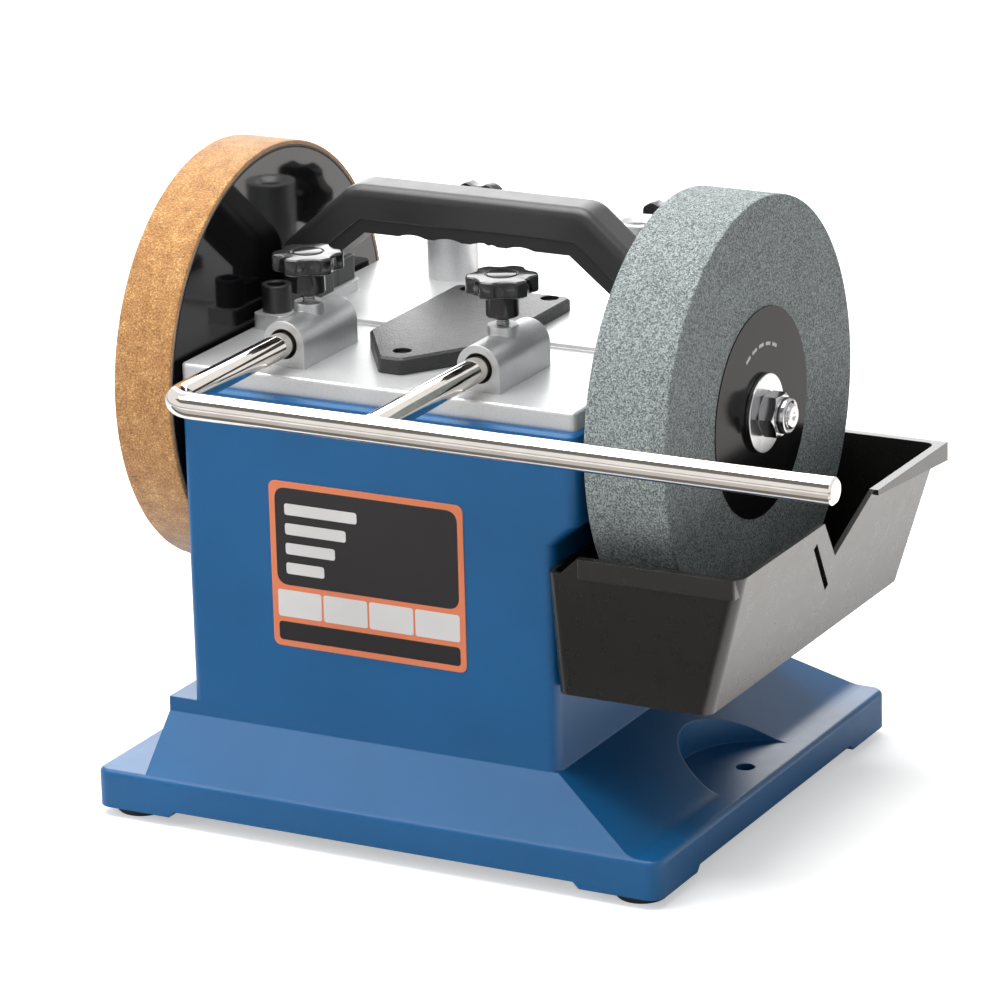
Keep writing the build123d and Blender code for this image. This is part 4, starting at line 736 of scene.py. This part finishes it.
@dataclass
class StoneStack:
    """The whetstone with its paper discs and the washer and nut that clamp it."""

    inner_x: float = 101.0
    outer_x: float = 141.0
    radius: float = 100.0
    edge: float = 0.9
    steps: int = 320
    bore: float = 6.1
    bore_edge: float = 0.05
    disc_radius: float = 49.0
    disc_thickness: float = 0.5
    disc_edge: float = 0.08
    dash_radius: float = 31.0
    dash_width: float = 1.6
    dash_height: float = 0.03
    dash_turn: float = 9.0
    dash_steps: int = 9
    dash_pitch: float = 13.0
    dash_count: int = 5
    dash_middle: float = 90.0
    washer_radius: float = 18.5
    washer_thickness: float = 2.5
    washer_edge: float = 0.45
    body: str = "spindle"

    def plate(self, start: float, end: float, radius: float, edge: float, steps: int = 192) -> Surface:
        """A flat ring on the spindle: a rounded rectangle carried round.

        Args:
            start: x of its left face.
            end: x of its right face.
            radius: its outer radius.
            edge: setback of its outer corners.
            steps: columns round the turn.

        Returns:
            The closed ring.
        """
        corners = [(start, self.bore), (start, radius), (end, radius), (end, self.bore)]
        profile = eased(corners, [self.bore_edge, edge, edge, self.bore_edge])
        return revolve([profile.T], SHAFT, Axis.X, steps)

    def dash(self, face: float, middle: float) -> Surface:
        """A short printed arc: a flat section carried through a small turn, drawn in to a line at both ends.

        Args:
            face: x of the disc's face.
            middle: angle of the arc's middle in degrees.

        Returns:
            The closed arc.
        """
        low, high = self.dash_radius, self.dash_radius + self.dash_width
        top = face + self.dash_height
        corners = np.array([(face, low), (face, high), (top, high), (top, low)])
        turn = np.radians(middle + np.linspace(-0.5, 0.5, self.dash_steps) * self.dash_turn)
        share = np.pad(np.ones(self.dash_steps), 1)
        centre = corners.mean(axis=0)[:, None, None]
        along, radius = centre + (corners.T[:, :, None] - centre) * share
        grid = polar(along, radius, np.pad(turn, 1, mode="edge"), SHAFT, Axis.X)
        return Surface.from_grid(grid, close_rows=True, close_columns=False)

    def build(self) -> None:
        """Make the stone, its discs, the printed dashes, the washer and the nut."""
        stone = self.plate(self.inner_x, self.outer_x, self.radius, self.edge, self.steps)
        make_piece("stone_wheel", stone, Finishes.whetstone, self.body, "whetstone", "grinding_stone")
        face = self.outer_x + self.disc_thickness
        left = self.plate(self.inner_x - self.disc_thickness, self.inner_x, self.disc_radius, self.disc_edge)
        right = self.plate(self.outer_x, face, self.disc_radius, self.disc_edge)
        make_piece("paper_discs", left + right, Finishes.disc_print, self.body, "wheel_disc", "stone_labels")
        first = self.dash_middle - self.dash_pitch * (self.dash_count - 1) / 2
        dashes = joined([self.dash(face, first + self.dash_pitch * n) for n in range(self.dash_count)])
        make_piece("paper_disc_marks", dashes, Finishes.ring_print, self.body, "wheel_disc")
        seat = face + self.washer_thickness
        washer = self.plate(face, seat, self.washer_radius, self.washer_edge)
        make_piece("clamp_washer", washer, Finishes.zinc_turned, self.body, "zinc_steel", "stone_washer")
        nut = LockNut(seat, outward=1).surface()
        make_piece("clamp_nut", nut, Finishes.bright_stud, self.body, "zinc_steel", "stone_nut")
        dress_node("stone_inner_flange", Finishes.zinc_turned)


@dataclass
class LockNut:
    """A hexagon nut with a rolled collar, on the spindle."""

    seat: float
    outward: int
    flats: float = 19.0
    hexagon: float = 8.0
    collar: float = 4.0
    collar_radius: float = 8.5
    bore: float = 6.05
    chamfer: float = 0.9
    chamfer_rows: int = 5
    chamfer_angle: float = math.radians(30)
    steps: int = 144

    def surface(self) -> Surface:
        """The hexagon's radius is the lesser of f / 2 / cos(t - 30 deg) and a cone at each end.

        Returns:
            The closed nut.
        """
        sector = math.pi / 3
        hexagon = self.flats / 2 / np.cos(np.mod(turn_angles(self.steps), sector) - sector / 2)
        rise = np.linspace(0, 1, self.chamfer_rows) * self.chamfer
        heights = np.concatenate([rise, self.hexagon - rise[::-1]])
        cone = self.flats / 2 + np.concatenate([rise, rise[::-1]]) / math.tan(self.chamfer_angle)
        prism = np.minimum(hexagon, cone[:, None])
        low, top, out = self.hexagon, self.hexagon + self.collar, self.collar_radius
        # The collar's rolled edge, from the hexagon over the top to the bore.
        collar = np.array([
            (low, out - 0.1), (low + 0.5, out), (top - 1.2, out), (top - 0.25, out - 0.5),
            (top, out - 1.2), (top - 0.3, out - 1.8), (top - 0.9, self.bore), (0.0, self.bore),
        ])
        parts = [(heights * self.outward, prism), (collar * (self.outward, 1)).T]
        return revolve(parts, SHAFT + np.array([self.seat, 0, 0]), Axis.X, self.steps)


@dataclass
class HoningStack:
    """The honing wheel: a black core, a leather band, washers and a nut."""

    inner_x: float = -112.0
    outer_x: float = -142.0
    core_radius: float = 98.5
    core_edge: float = 0.6
    core_steps: int = 256
    recess_radius: float = 22.0
    recess_depth: float = 14.0
    hub_radius: float = 34.0
    rim_radius: float = 86.5
    dish_depth: float = 3.0
    dish_slope: float = 2.0
    bore: float = 6.03
    glue_line: float = 0.03
    glue_edge: float = 0.1
    band_radius: float = 101.5
    band_edge: float = 0.8
    band_rows: int = 26
    band_inset: float = 1.2
    band_steps: int = 720
    nap: float = 0.07
    nap_share: float = 0.45
    nap_rows: float = 2.0
    nap_columns: float = 2.2
    nap_seed: int = 7
    nut_seat: float = -130.0
    body: str = "spindle"

    def core(self) -> Surface:
        """The core's section carried round: flat inside, dished outside.

        Returns:
            The closed core.
        """
        outer = self.outer_x
        dish = outer + self.dish_depth
        floor = outer + self.recess_depth
        corners = [
            (floor, self.bore),
            (floor, self.recess_radius),
            (outer, self.recess_radius),
            (outer, self.hub_radius),
            (dish, self.hub_radius + self.dish_slope),
            (dish, self.rim_radius - self.dish_slope),
            (outer, self.rim_radius),
            (outer, self.core_radius),
            (self.inner_x, self.core_radius),
            (self.inner_x, self.bore),
        ]
        return revolve([eased(corners, self.core_edge).T], SHAFT, Axis.X, self.core_steps)

    def band(self) -> Surface:
        """A ring whose outer radius carries a nap: r = R + h n(t, x), with n a seeded field.

        Returns:
            The closed band.
        """
        inner = self.core_radius + self.glue_line
        outer = self.band_radius - self.nap
        left, right = self.outer_x, self.inner_x
        corners = [(left, inner), (left, outer), (right, outer), (right, inner)]
        line = eased(corners, [self.glue_edge, self.band_edge, self.band_edge, self.glue_edge], steps=4)
        across = np.linspace(left + self.band_inset, right - self.band_inset, self.band_rows)
        face = np.column_stack([across, np.full(self.band_rows, outer)])
        half = len(line) // 2
        along, radius = np.vstack([line[:half], face, line[half:]]).T
        field = smooth_field(len(along), self.band_steps, self.nap_rows, self.nap_columns, self.nap_seed)
        on_face = radius > self.band_radius - 3 * self.nap
        rough = field * self.nap * self.nap_share * on_face[:, None]
        radius = np.minimum(radius[:, None] + rough, self.band_radius)
        return revolve([(along, radius)], SHAFT, Axis.X, self.band_steps)

    def build(self) -> None:
        """Make the core, the band and the nut, and dress the washers."""
        make_piece("honing_core", self.core(), Finishes.black_core, self.body, "black_gloss", "honing_wheel")
        make_piece("suede_band", self.band(), Finishes.tan_suede, self.body, "tan_leather", "leather_band")
        nut = LockNut(self.nut_seat, outward=-1).surface()
        make_piece("honing_lock_nut", nut, Finishes.bright_stud, self.body, "zinc_steel", "honing_nut")
        dress_node("honing_washers", Finishes.zinc_turned)


@dataclass
class ThreadedRod:
    """A rod with a thread: r = R - d (1 + cos 2 pi (a / p - t / 2 pi)) / 2."""

    radius: float
    pitch: float
    depth: float
    rows_per_turn: int = 10

    def rows(self, start: float, end: float, steps: int) -> Rows:
        """Distances along the rod and radii over its thread.

        Args:
            start: where the thread starts.
            end: where it ends.
            steps: columns round the rod.

        Returns:
            The distances, and the radii as rows and columns.
        """
        count = max(2, int(abs(end - start) / self.pitch * self.rows_per_turn))
        along = np.linspace(start, end, count)
        phase = 2 * math.pi * along[:, None] / self.pitch - turn_angles(steps)
        return along, self.radius - self.depth * 0.5 * (1 + np.cos(phase))


@dataclass
class Spindle:
    """The spindle: a thick middle, two threaded ends with a centre mark."""

    left_end: float = -143.5
    right_end: float = 157.5
    left_shoulder: float = -110.0
    right_shoulder: float = 98.0
    middle_radius: float = 7.0
    thread_radius: float = 6.0
    thread_pitch: float = 1.75
    thread_depth: float = 0.5
    thread_start: float = 0.8
    thread_end: float = 7.0
    tip_radius: float = 4.9
    tip_chamfer: float = 0.7
    mark_radius: float = 2.0
    mark_depth: float = 1.6
    steps: int = 96
    body: str = "spindle"

    def surface(self) -> Surface:
        """Rows of equal turns from the left end to the right one, with threads next to both ends.

        Returns:
            The spindle.
        """
        thread = ThreadedRod(self.thread_radius, self.thread_pitch, self.thread_depth)
        left, right = self.left_end, self.right_end
        root = self.thread_radius - self.thread_depth
        depth = np.array([self.mark_depth, 0.0, 0.0, self.tip_chamfer])
        reach = np.array([0.0, self.mark_radius, self.tip_radius, root])
        middle = np.array([
            (self.left_shoulder, self.thread_radius),
            (self.left_shoulder, self.middle_radius),
            (self.right_shoulder, self.middle_radius),
            (self.right_shoulder, self.thread_radius),
        ])
        parts = [
            (left + depth, reach),
            thread.rows(left + self.thread_start, left + self.thread_end, self.steps),
            middle.T,
            thread.rows(right - self.thread_end, right - self.thread_start, self.steps),
            (right - depth[::-1], reach[::-1]),
        ]
        return revolve(parts, SHAFT, Axis.X, self.steps, closed=False)

    def build(self) -> None:
        """Make the spindle and dress the wheel of the drive."""
        bar = self.surface()
        make_piece("spindle_bar", bar, Finishes.bright_stud, self.body, "spindle_steel", "main_shaft")
        dress_node("worm_wheel", Finishes.bronze)


def sweep(path: Points, radius: Points, steps: int = 48) -> Surface:
    """A circle carried along a level path: P = C(s) + r(s) (cos t N(s) + sin t Z), N square to the path.

    Args:
        path: points of the centre line, all at one height.
        radius: the radius at each point.
        steps: columns round the circle.

    Returns:
        The tube; a radius of nought closes an end.
    """
    ahead = np.gradient(path, axis=0)
    lengths = np.linalg.norm(ahead, axis=1, keepdims=True)
    tiny = 1e-9
    ahead = np.where(lengths > tiny, ahead / np.maximum(lengths, tiny), 0)
    side = np.column_stack([ahead[:, 1], -ahead[:, 0], np.zeros(len(path))])
    angles = turn_angles(steps)[None, :, None]
    ring = np.cos(angles) * side[:, None] + np.sin(angles) * np.array([0, 0, 1.0])
    return Surface.from_grid(path[:, None] + radius[:, None, None] * ring)


@dataclass
class ToolSupport:
    """The bent bar in front of the wheels, with a second leg that is welded on."""

    radius: float = 6.0
    height: float = BAR_HEIGHT
    left_x: float = BAR_MIDDLE - BAR_HALF
    right_x: float = BAR_MIDDLE + BAR_HALF
    bar_y: float = -183.0
    leg_root: float = 4.0
    leg_end: float = -35.0
    bar_end: float = 261.0
    bend: float = 12.0
    bend_steps: int = 25
    straight: float = 30.0
    chamfer: float = 1.0
    bead: float = 0.9
    bead_width: float = 0.55
    bead_blend: float = 0.02
    bead_swell: float = 0.1
    bead_waves: int = 7
    bead_steps: int = 96
    bead_columns: int = 16

    def ends(self) -> tuple[Points, Points]:
        """Distances and radii at the start of a bar: flat end, chamfer, full radius.

        Returns:
            The distances and the radii.
        """
        full = self.radius
        # The flat end takes 0.001 because the path has to move on; the row past the chamfer keeps the bar's
        # shading even.
        distance = np.array([0.0, 0.001, self.chamfer, self.chamfer + 0.05, self.straight])
        return distance, np.array([0.0, full - self.chamfer, full, full, full])

    def bar(self) -> Surface:
        """The left leg, a quarter turn and the cross bar as one tube.

        Returns:
            The closed tube.
        """
        turn = np.linspace(0, math.pi / 2, self.bend_steps)
        centre = np.array([self.left_x + self.bend, self.bar_y + self.bend])
        arc = centre - self.bend * np.column_stack([np.cos(turn), np.sin(turn)])
        at, end_radius = self.ends()
        leg = np.column_stack([np.full(len(at), self.left_x), self.leg_end - at])
        run = np.column_stack([self.bar_end - at, np.full(len(at), self.bar_y)])[::-1]
        flat = np.vstack([leg, arc, run])
        radius = np.concatenate([end_radius, np.full(len(arc), self.radius), end_radius[::-1]])
        return sweep(np.column_stack([flat, np.full(len(flat), self.height)]), radius)

    def leg(self) -> Surface:
        """The second leg, from inside the cross bar to its chamfered end.

        Returns:
            The closed tube.
        """
        at, radius = self.ends()
        root = self.bar_y + self.leg_root
        y = np.concatenate([self.leg_end - at, [root, root - 0.1]])
        path = np.column_stack([np.full(len(y), self.right_x), y, np.full(len(y), self.height)])
        return sweep(path, np.concatenate([radius, [self.radius, 0.0]]))

    def weld(self) -> Surface:
        """A bead round the joint: a small ring carried along y = Y + R sqrt(cos^2 t + e) on the leg.

        Returns:
            The closed bead.
        """
        around = turn_angles(self.bead_steps)
        ring = turn_angles(self.bead_columns)[None, :, None]
        out = np.column_stack([np.cos(around), np.zeros(len(around)), np.sin(around)])
        line = self.radius * out
        line[:, 1] = self.radius * np.sqrt(np.cos(around) ** 2 + self.bead_blend)
        line += np.array([self.right_x, self.bar_y, self.height])
        swell = 1 - self.bead_swell + self.bead_swell * np.cos(self.bead_waves * around)
        section = np.cos(ring) * out[:, None] * self.bead_width + np.sin(ring) * np.array([0, 1.0, 0])
        return Surface.from_grid(line[:, None] + self.bead * swell[:, None, None] * section, close_rows=True)

    def build(self) -> None:
        """Make the support as one piece."""
        surface = self.bar() + self.leg() + self.weld()
        make_piece("support_bar", surface, Finishes.bright_rod, "support", "bright_bar", "tool_support")


@dataclass
class LockKnob:
    """A star knob on its hub, with the stud that it turns."""

    place: str
    base: Points
    stud_start: float
    axis: Axis
    hub_radius: float = 7.7
    hub_height: float = 11.2
    head_radius: float = 16.5
    head_height: float = 8.0
    low_round: float = 1.2
    high_round: float = 1.5
    round_rows: int = 7
    lobes: int = 6
    lobe_swell: float = 0.12
    lobe_blend: float = 0.7
    scallop_radius: float = 9.0
    scallop_depth: float = 2.4
    cap_radius: float = 7.0
    cap_height: float = 0.6
    steps: int = 216
    stud_radius: float = 3.0
    stud_pitch: float = 1.0
    stud_depth: float = 0.3
    stud_chamfer: float = 0.6
    stud_end: float = 1.0
    stud_steps: int = 48

    def star(self) -> Points:
        """The head's outline: the lesser of a circle and of round scallops, softly joined.

        A scallop of radius q at distance c lies at c cos f - sqrt(q^2 - c^2 sin^2 f) from the centre.

        Returns:
            The radius at each column.
        """
        reach = self.head_radius - self.scallop_depth + self.scallop_radius
        sector = 2 * math.pi / self.lobes
        away = np.mod(turn_angles(self.steps) + sector / 2, sector) - sector / 2
        inside = np.maximum(self.scallop_radius**2 - (reach * np.sin(away)) ** 2, 0.0)
        scallop = np.where(inside > 0, reach * np.cos(away) - np.sqrt(inside), 2 * self.head_radius)
        return soft_minimum(self.head_radius + self.lobe_swell, scallop, self.lobe_blend)

    def knob(self) -> Surface:
        """Circles up the hub, the star's side with both edges rounded, and circles over the cap.

        Returns:
            The knob.
        """
        hub, low = self.hub_radius, self.hub_height
        # The hub from its foot to the head, then the head's top with the groove round the cap.
        foot = np.array([
            (0.0, self.stud_radius + 0.1), (0.0, hub - 0.5), (0.5, hub),
            (low - 1.5, hub), (low - 0.4, hub + 0.4), (low, hub + 1.6),
        ])
        cap, high = self.cap_radius, self.hub_height + self.head_height
        top = high + self.cap_height
        crown = np.array([
            (high + 0.1, cap + 2.0), (high + 0.15, cap + 0.8), (high - 0.25, cap + 0.5),
            (high - 0.25, cap + 0.1), (top - 0.2, cap - 0.2), (top, cap - 0.6), (top, 0.0),
        ])
        bend = np.linspace(0, math.pi / 2, self.round_rows)
        slow, fast = 1 - np.cos(bend), 1 - np.sin(bend)
        heights = np.concatenate([low + self.low_round * slow, high - self.high_round * fast])
        inset = np.concatenate([self.low_round * fast, self.high_round * slow])
        parts = [foot.T, (heights, self.star() - inset[:, None]), crown.T]
        return revolve(parts, self.base, self.axis, self.steps, closed=False)

    def stud(self) -> Surface:
        """A fine thread with a chamfered tip, up to the hub.

        Returns:
            The stud.
        """
        start, radius, end = self.stud_start, self.stud_radius, self.stud_end
        thread = ThreadedRod(radius, self.stud_pitch, self.stud_depth)
        tip = np.array([(start, 0.0), (start, radius - self.stud_chamfer)])
        rows = thread.rows(start + self.stud_chamfer, end, self.stud_steps)
        parts = [tip.T, rows, np.array([(end,), (0.0,)])]
        return revolve(parts, self.base, self.axis, self.stud_steps, closed=False)

    def build(self) -> None:
        """Make the knob and its stud."""
        body = "knob_" + self.place
        knob, stud = "lock_knob_" + self.place, "lock_screw_" + self.place
        make_piece("star_knob_" + self.place, self.knob(), Finishes.black_knob, body, "black_plastic", knob)
        make_piece("knob_stud_" + self.place, self.stud(), Finishes.bright_stud, body, "zinc_steel", stud)


def slab(outline: Points, low: float, high: float, edge: float) -> Surface:
    """An outline of (x, z) made a thin slab along -Y with an eased outer edge.

    Rows run from the back's middle over the edge to the front's middle; the edge row is drawn in by
    `edge`, and one more row just inside it keeps the front's shading flat.

    Args:
        outline: a closed line of points, star-shaped about its middle.
        low: y of the back.
        high: y of the front.
        edge: width of the eased edge.

    Returns:
        The closed slab.
    """
    middle = (outline.min(axis=0) + outline.max(axis=0)) / 2
    arm = outline - middle
    reach = np.linalg.norm(arm, axis=1, keepdims=True)
    drawn = middle + arm * (1 - edge / reach)
    held = middle + arm * (1 - (edge + FLAT_ROW) / reach)
    tip = np.broadcast_to(middle, outline.shape)
    flat = np.stack([tip, outline, outline, drawn, held, tip])
    depths = np.array([low, low, high - math.copysign(edge, high - low) * 0.5, high, high, high])
    depth = np.broadcast_to(depths[:, None], flat.shape[:2])
    return Surface.from_grid(np.stack([flat[..., 0], depth, flat[..., 1]], axis=-1))


@dataclass
class FrontLabel:
    """A label on the column's front: an orange field with dark panels and pale cells, all blank."""

    left: float = -61.5
    bottom: float = 89.0
    width: float = 101.0
    height: float = 80.0
    back: float = -100.0
    front: float = -100.4
    corner: float = 4.0
    edge: float = 0.15
    ink: float = 0.03
    ink_edge: float = 0.02
    ink_root: float = 0.05
    cell_count: int = 4
    cell_corner: float = 1.4

    def outline(self, x: float, z: float, width: float, height: float, corner: float, steps: int) -> Points:
        """A rounded rectangle.

        Args:
            x: its left side, from the label's.
            z: its bottom, from the label's.
            width: its width.
            height: its height.
            corner: setback of its corners.
            steps: points on each corner's curve.

        Returns:
            Its outline.
        """
        left, low = self.left + x, self.bottom + z
        right, high = left + width, low + height
        return eased([(left, low), (right, low), (right, high), (left, high)], corner, steps)

    def panel(self, x: float, z: float, width: float, height: float, corner: float, layer: int) -> Surface:
        """A rounded rectangle inside the label, so many layers of ink above the field."""
        outline = self.outline(x, z, width, height, corner, steps=8)
        return slab(outline, self.front + self.ink_root, self.front - self.ink * layer, self.ink_edge)

    def build(self) -> None:
        """Make the field, the dark panels and the pale cells; a panel is x, z, width, height and corner."""
        outline = self.outline(0.0, 0.0, self.width, self.height, self.corner, steps=10)
        field = slab(outline, self.back, self.front, self.edge)
        make_piece("label_field", field, Finishes.label_orange, "base", "label_film", "front_label")
        panels = [(3.0, 30.0, 95.0, 47.0, 6.0), (3.0, 3.0, 95.0, 9.0, 2.0)]
        dark = joined([self.panel(*panel, layer=1) for panel in panels])
        make_piece("label_panels", dark, Finishes.label_black, "base", "label_film")
        cells = [(3.0 + 24.0 * n, 14.5, 23.0, 13.0) for n in range(self.cell_count)]
        cells += [(8.0, 64.0 - 9.5 * n, 38.0 - 6.0 * n, 5.5) for n in range(self.cell_count)]
        pale = joined([self.panel(*cell, self.cell_corner, layer=2) for cell in cells])
        make_piece("label_cells", pale, Finishes.label_pale, "base", "label_film")


@dataclass
class CadDress:
    """The frame's own nodes that stay as they are, with their finishes."""

    silver: tuple[str, ...] = (
        "top_plate", "post_sleeve_left", "post_sleeve_right", "bearing_block_left", "bearing_block_right",
        "motor_top_bell", "motor_bottom_bell",
    )
    steel: tuple[str, ...] = (
        "bottom_cover_screws", "foot_screws", "plate_screws", "tool_sleeve_screws", "post_sleeve_screws",
        "bearing_bolts", "bracket_bolts", "motor_screws", "worm", "motor_bearings",
    )

    def table(self) -> dict[Finish, tuple[str, ...]]:
        """The finishes with the nodes that take them.

        Returns:
            The names of the nodes by finish.
        """
        return {
            Finishes.blue_shell: ("housing",),
            Finishes.silver_cast: self.silver,
            Finishes.silver_sleeve: ("tool_sleeve_left", "tool_sleeve_right"),
            Finishes.plain_steel: self.steel,
            # zinc screws drawn near black as painted shade in their holes
            Finishes.screw_in_painted_shade: ("handle_screws", "access_cover_screws"),
            Finishes.sheet_steel: ("bottom_cover", "motor_bracket", "capacitor_clip"),
            Finishes.core_plates: ("motor_stator", "rotor"),
            Finishes.bronze: ("bearing_bushes",),
            Finishes.motor_enamel: ("motor_shell",),
            Finishes.white_can: ("capacitor",),
            Finishes.black_handle: ("carry_handle", "switch_housing", "cable_gland"),
            Finishes.black_grip: ("handle_grip",),
            Finishes.black_cover: ("access_cover",),
            Finishes.black_trough: ("water_trough",),
            Finishes.black_rubber: ("rubber_feet",),
            Finishes.red_rocker: ("switch_rocker",),
        }

    def dress(self) -> None:
        """Give each node its finish."""
        for finish, nodes in self.table().items():
            for node in nodes:
                dress_node(node, finish)


@dataclass
class Lamp:
    """A square soft light that points at the machine."""

    name: str
    place: Place
    size: float
    power: float
    mirrored: bool = True
    target: Place = (0.0, 0.0, 0.15)

    def build(self) -> None:
        """Add the lamp."""
        data = bpy.data.lights.new(self.name, "AREA")
        data.size = self.size
        data.energy = self.power
        lamp = put(self.name, data)
        lamp.visible_camera = False
        lamp.visible_glossy = self.mirrored
        lamp.location = self.place
        lamp.rotation_euler = (Vector(self.target) - Vector(self.place)).to_track_quat("-Z", "Y").to_euler()


def level_sheet(name: str, middle: Place, size: tuple[float, float], material: Material) -> bpy.types.Object:
    """A level rectangle of the studio, which is no part of the machine.

    Args:
        name: its name.
        middle: its middle.
        size: its width and depth.
        material: its material.

    Returns:
        The object.
    """
    corners = np.array([(-0.5, -0.5, 0), (0.5, -0.5, 0), (0.5, 0.5, 0), (-0.5, 0.5, 0)]) * (*size, 0)
    mesh = bpy.data.meshes.new(name)
    mesh.from_pydata((np.array(middle) + corners).tolist(), [], [(0, 1, 2, 3)])
    mesh.materials.append(material)
    sheet = put(name, mesh)
    return sheet


@dataclass
class Card:
    """A level card, a little warm, that only gloss sees: a dark one draws a streak, a bright one fills."""

    name: str
    place: Place
    size: tuple[float, float]
    glow: float

    def build(self) -> None:
        """Add the card."""
        material = Shader(self.name).set(
            Base_Color=BLACK, Specular_IOR_Level=0.0, Emission_Color=WARM_WHITE, Emission_Strength=self.glow
        )
        card = level_sheet(self.name, self.place, self.size, material)
        card.visible_camera = False
        card.visible_diffuse = False
        card.visible_transmission = False
        card.visible_shadow = False


@dataclass
class Studio:
    """Floor, surroundings, lamps and the camera."""

    floor_size: float = 12.0
    floor_colour: float = 0.8
    floor_glow: float = 0.45
    glow_reach: tuple[float, float] = (700.0, 1800.0)  # in millimetres, as the shader's places are
    ambient: float = 0.3
    camera_place: Place = (1.106834, -2.051739, 0.887922)
    camera_reach: float = 100.0
    azimuth: float = 28.238
    elevation: float = 17.856
    roll: float = -1.497
    focal_pixels: float = 5199.35
    frame_pixels: float = 1000.0
    sensor: float = 36.0

    def surroundings(self) -> None:
        """White where the camera, gloss or glass sees it, dimmer where it lights the machine."""
        world = bpy.data.worlds.new("surroundings")
        world.use_nodes = True
        nodes = Nodes(world.node_tree)
        path = nodes.add("ShaderNodeLightPath").outputs
        seen = nodes.math("ADD", path["Is Camera Ray"], path["Is Glossy Ray"])
        seen = nodes.math("ADD", seen, path["Is Transmission Ray"])
        background = world.node_tree.nodes["Background"].inputs
        background["Color"].default_value = WHITE
        nodes.feed(background["Strength"], nodes.span(seen, self.ambient, 1.0))
        bpy.context.scene.world = world

    def floor(self) -> None:
        """A wide pale floor that keeps the shadow and, where it is seen, glows more the farther it lies."""
        shader = Shader("studio floor")
        away = shader.vector("LENGTH", shader.place)
        near, far = self.glow_reach
        reach = {"Value": away, "From Min": near, "From Max": far, "To Min": self.floor_glow, "To Max": 1.0}
        glow = shader.add("ShaderNodeMapRange", reach).outputs[0]
        seen = shader.add("ShaderNodeLightPath").outputs["Is Camera Ray"]
        material = shader.set(
            Base_Color=(*(self.floor_colour,) * 3, 1.0),
            Roughness=0.9,
            Specular_IOR_Level=0.0,
            Emission_Color=WHITE,
            Emission_Strength=shader.math("MULTIPLY", glow, seen),
        )
        level_sheet("studio_floor", (0.0, 0.0, 0.0), (self.floor_size, self.floor_size), material)

    def camera(self) -> None:
        """The photograph's camera: back = (sin a cos e, -cos a cos e, sin e), then turned by the roll."""
        a, e, roll = (math.radians(x) for x in (self.azimuth, self.elevation, self.roll))
        back = Vector((math.sin(a) * math.cos(e), -math.cos(a) * math.cos(e), math.sin(e)))
        right = (-back).cross(Vector((0, 0, 1))).normalized()
        up = right.cross(-back)
        turned_right = math.cos(roll) * right + math.sin(roll) * up
        turned_up = -math.sin(roll) * right + math.cos(roll) * up
        data = bpy.data.cameras.new("photo_camera")
        data.sensor_width = self.sensor
        data.lens = self.focal_pixels / self.frame_pixels * self.sensor
        data.clip_end = self.camera_reach
        camera = put("photo_camera", data)
        turn = Matrix((turned_right, turned_up, back)).transposed()
        camera.matrix_world = Matrix.Translation(self.camera_place) @ turn.to_4x4()
        bpy.context.scene.camera = camera

    def build(self) -> None:
        """Set up the studio."""
        bpy.context.scene.view_settings.view_transform = "Standard"
        self.camera()
        self.surroundings()
        self.floor()
        lights = [
            Lamp("overhead", (-0.2, -0.05, 1.6), 1.3, 34.0),
            Lamp("front_left", (-1.3, -1.5, 1.1), 1.2, 16.5, mirrored=False),
            Lamp("back_softbox", (-1.12, 2.1, 1.0), 1.8, 31.0),
            Card("card_front_sky", (-1.0, -1.55, 1.63), (3.6, 1.9), 0.2),
            Card("card_high_left", (-0.75, -0.43, 1.5), (1.5, 0.66), 6.4),
            Card("card_near_floor", (-0.2, -0.275, 0.004), (1.4, 0.15), 0.2),
            Card("card_middle_floor", (-0.4, -0.56, 0.004), (1.6, 0.42), 0.65),
            Card("card_right_floor", (0.8, 0.55, 0.004), (1.2, 1.6), 2.3),
        ]
        for light in lights:
            light.build()


def write_sizes() -> None:
    """Bring the scene's placements up to date."""
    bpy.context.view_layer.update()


def main() -> None:
    """Build the studio and the sub-assemblies in order."""
    logging.basicConfig(level=logging.INFO, format="%(message)s")
    Studio().build()
    CadDress().dress()
    StoneStack().build()
    HoningStack().build()
    Spindle().build()
    ToolSupport().build()
    FrontLabel().build()
    for side, x in (("left", BAR_MIDDLE - BAR_HALF), ("right", BAR_MIDDLE + BAR_HALF)):
        front, rear = np.array([x, -57.0, 246.85]), np.array([x, 96.35, 243.5])
        LockKnob("front_" + side, front, stud_start=-12.05, axis=Axis.Z).build()
        LockKnob("rear_" + side, rear, stud_start=-8.0, axis=Axis.Y).build()
    write_sizes()


if __name__ == "__main__":
    main()
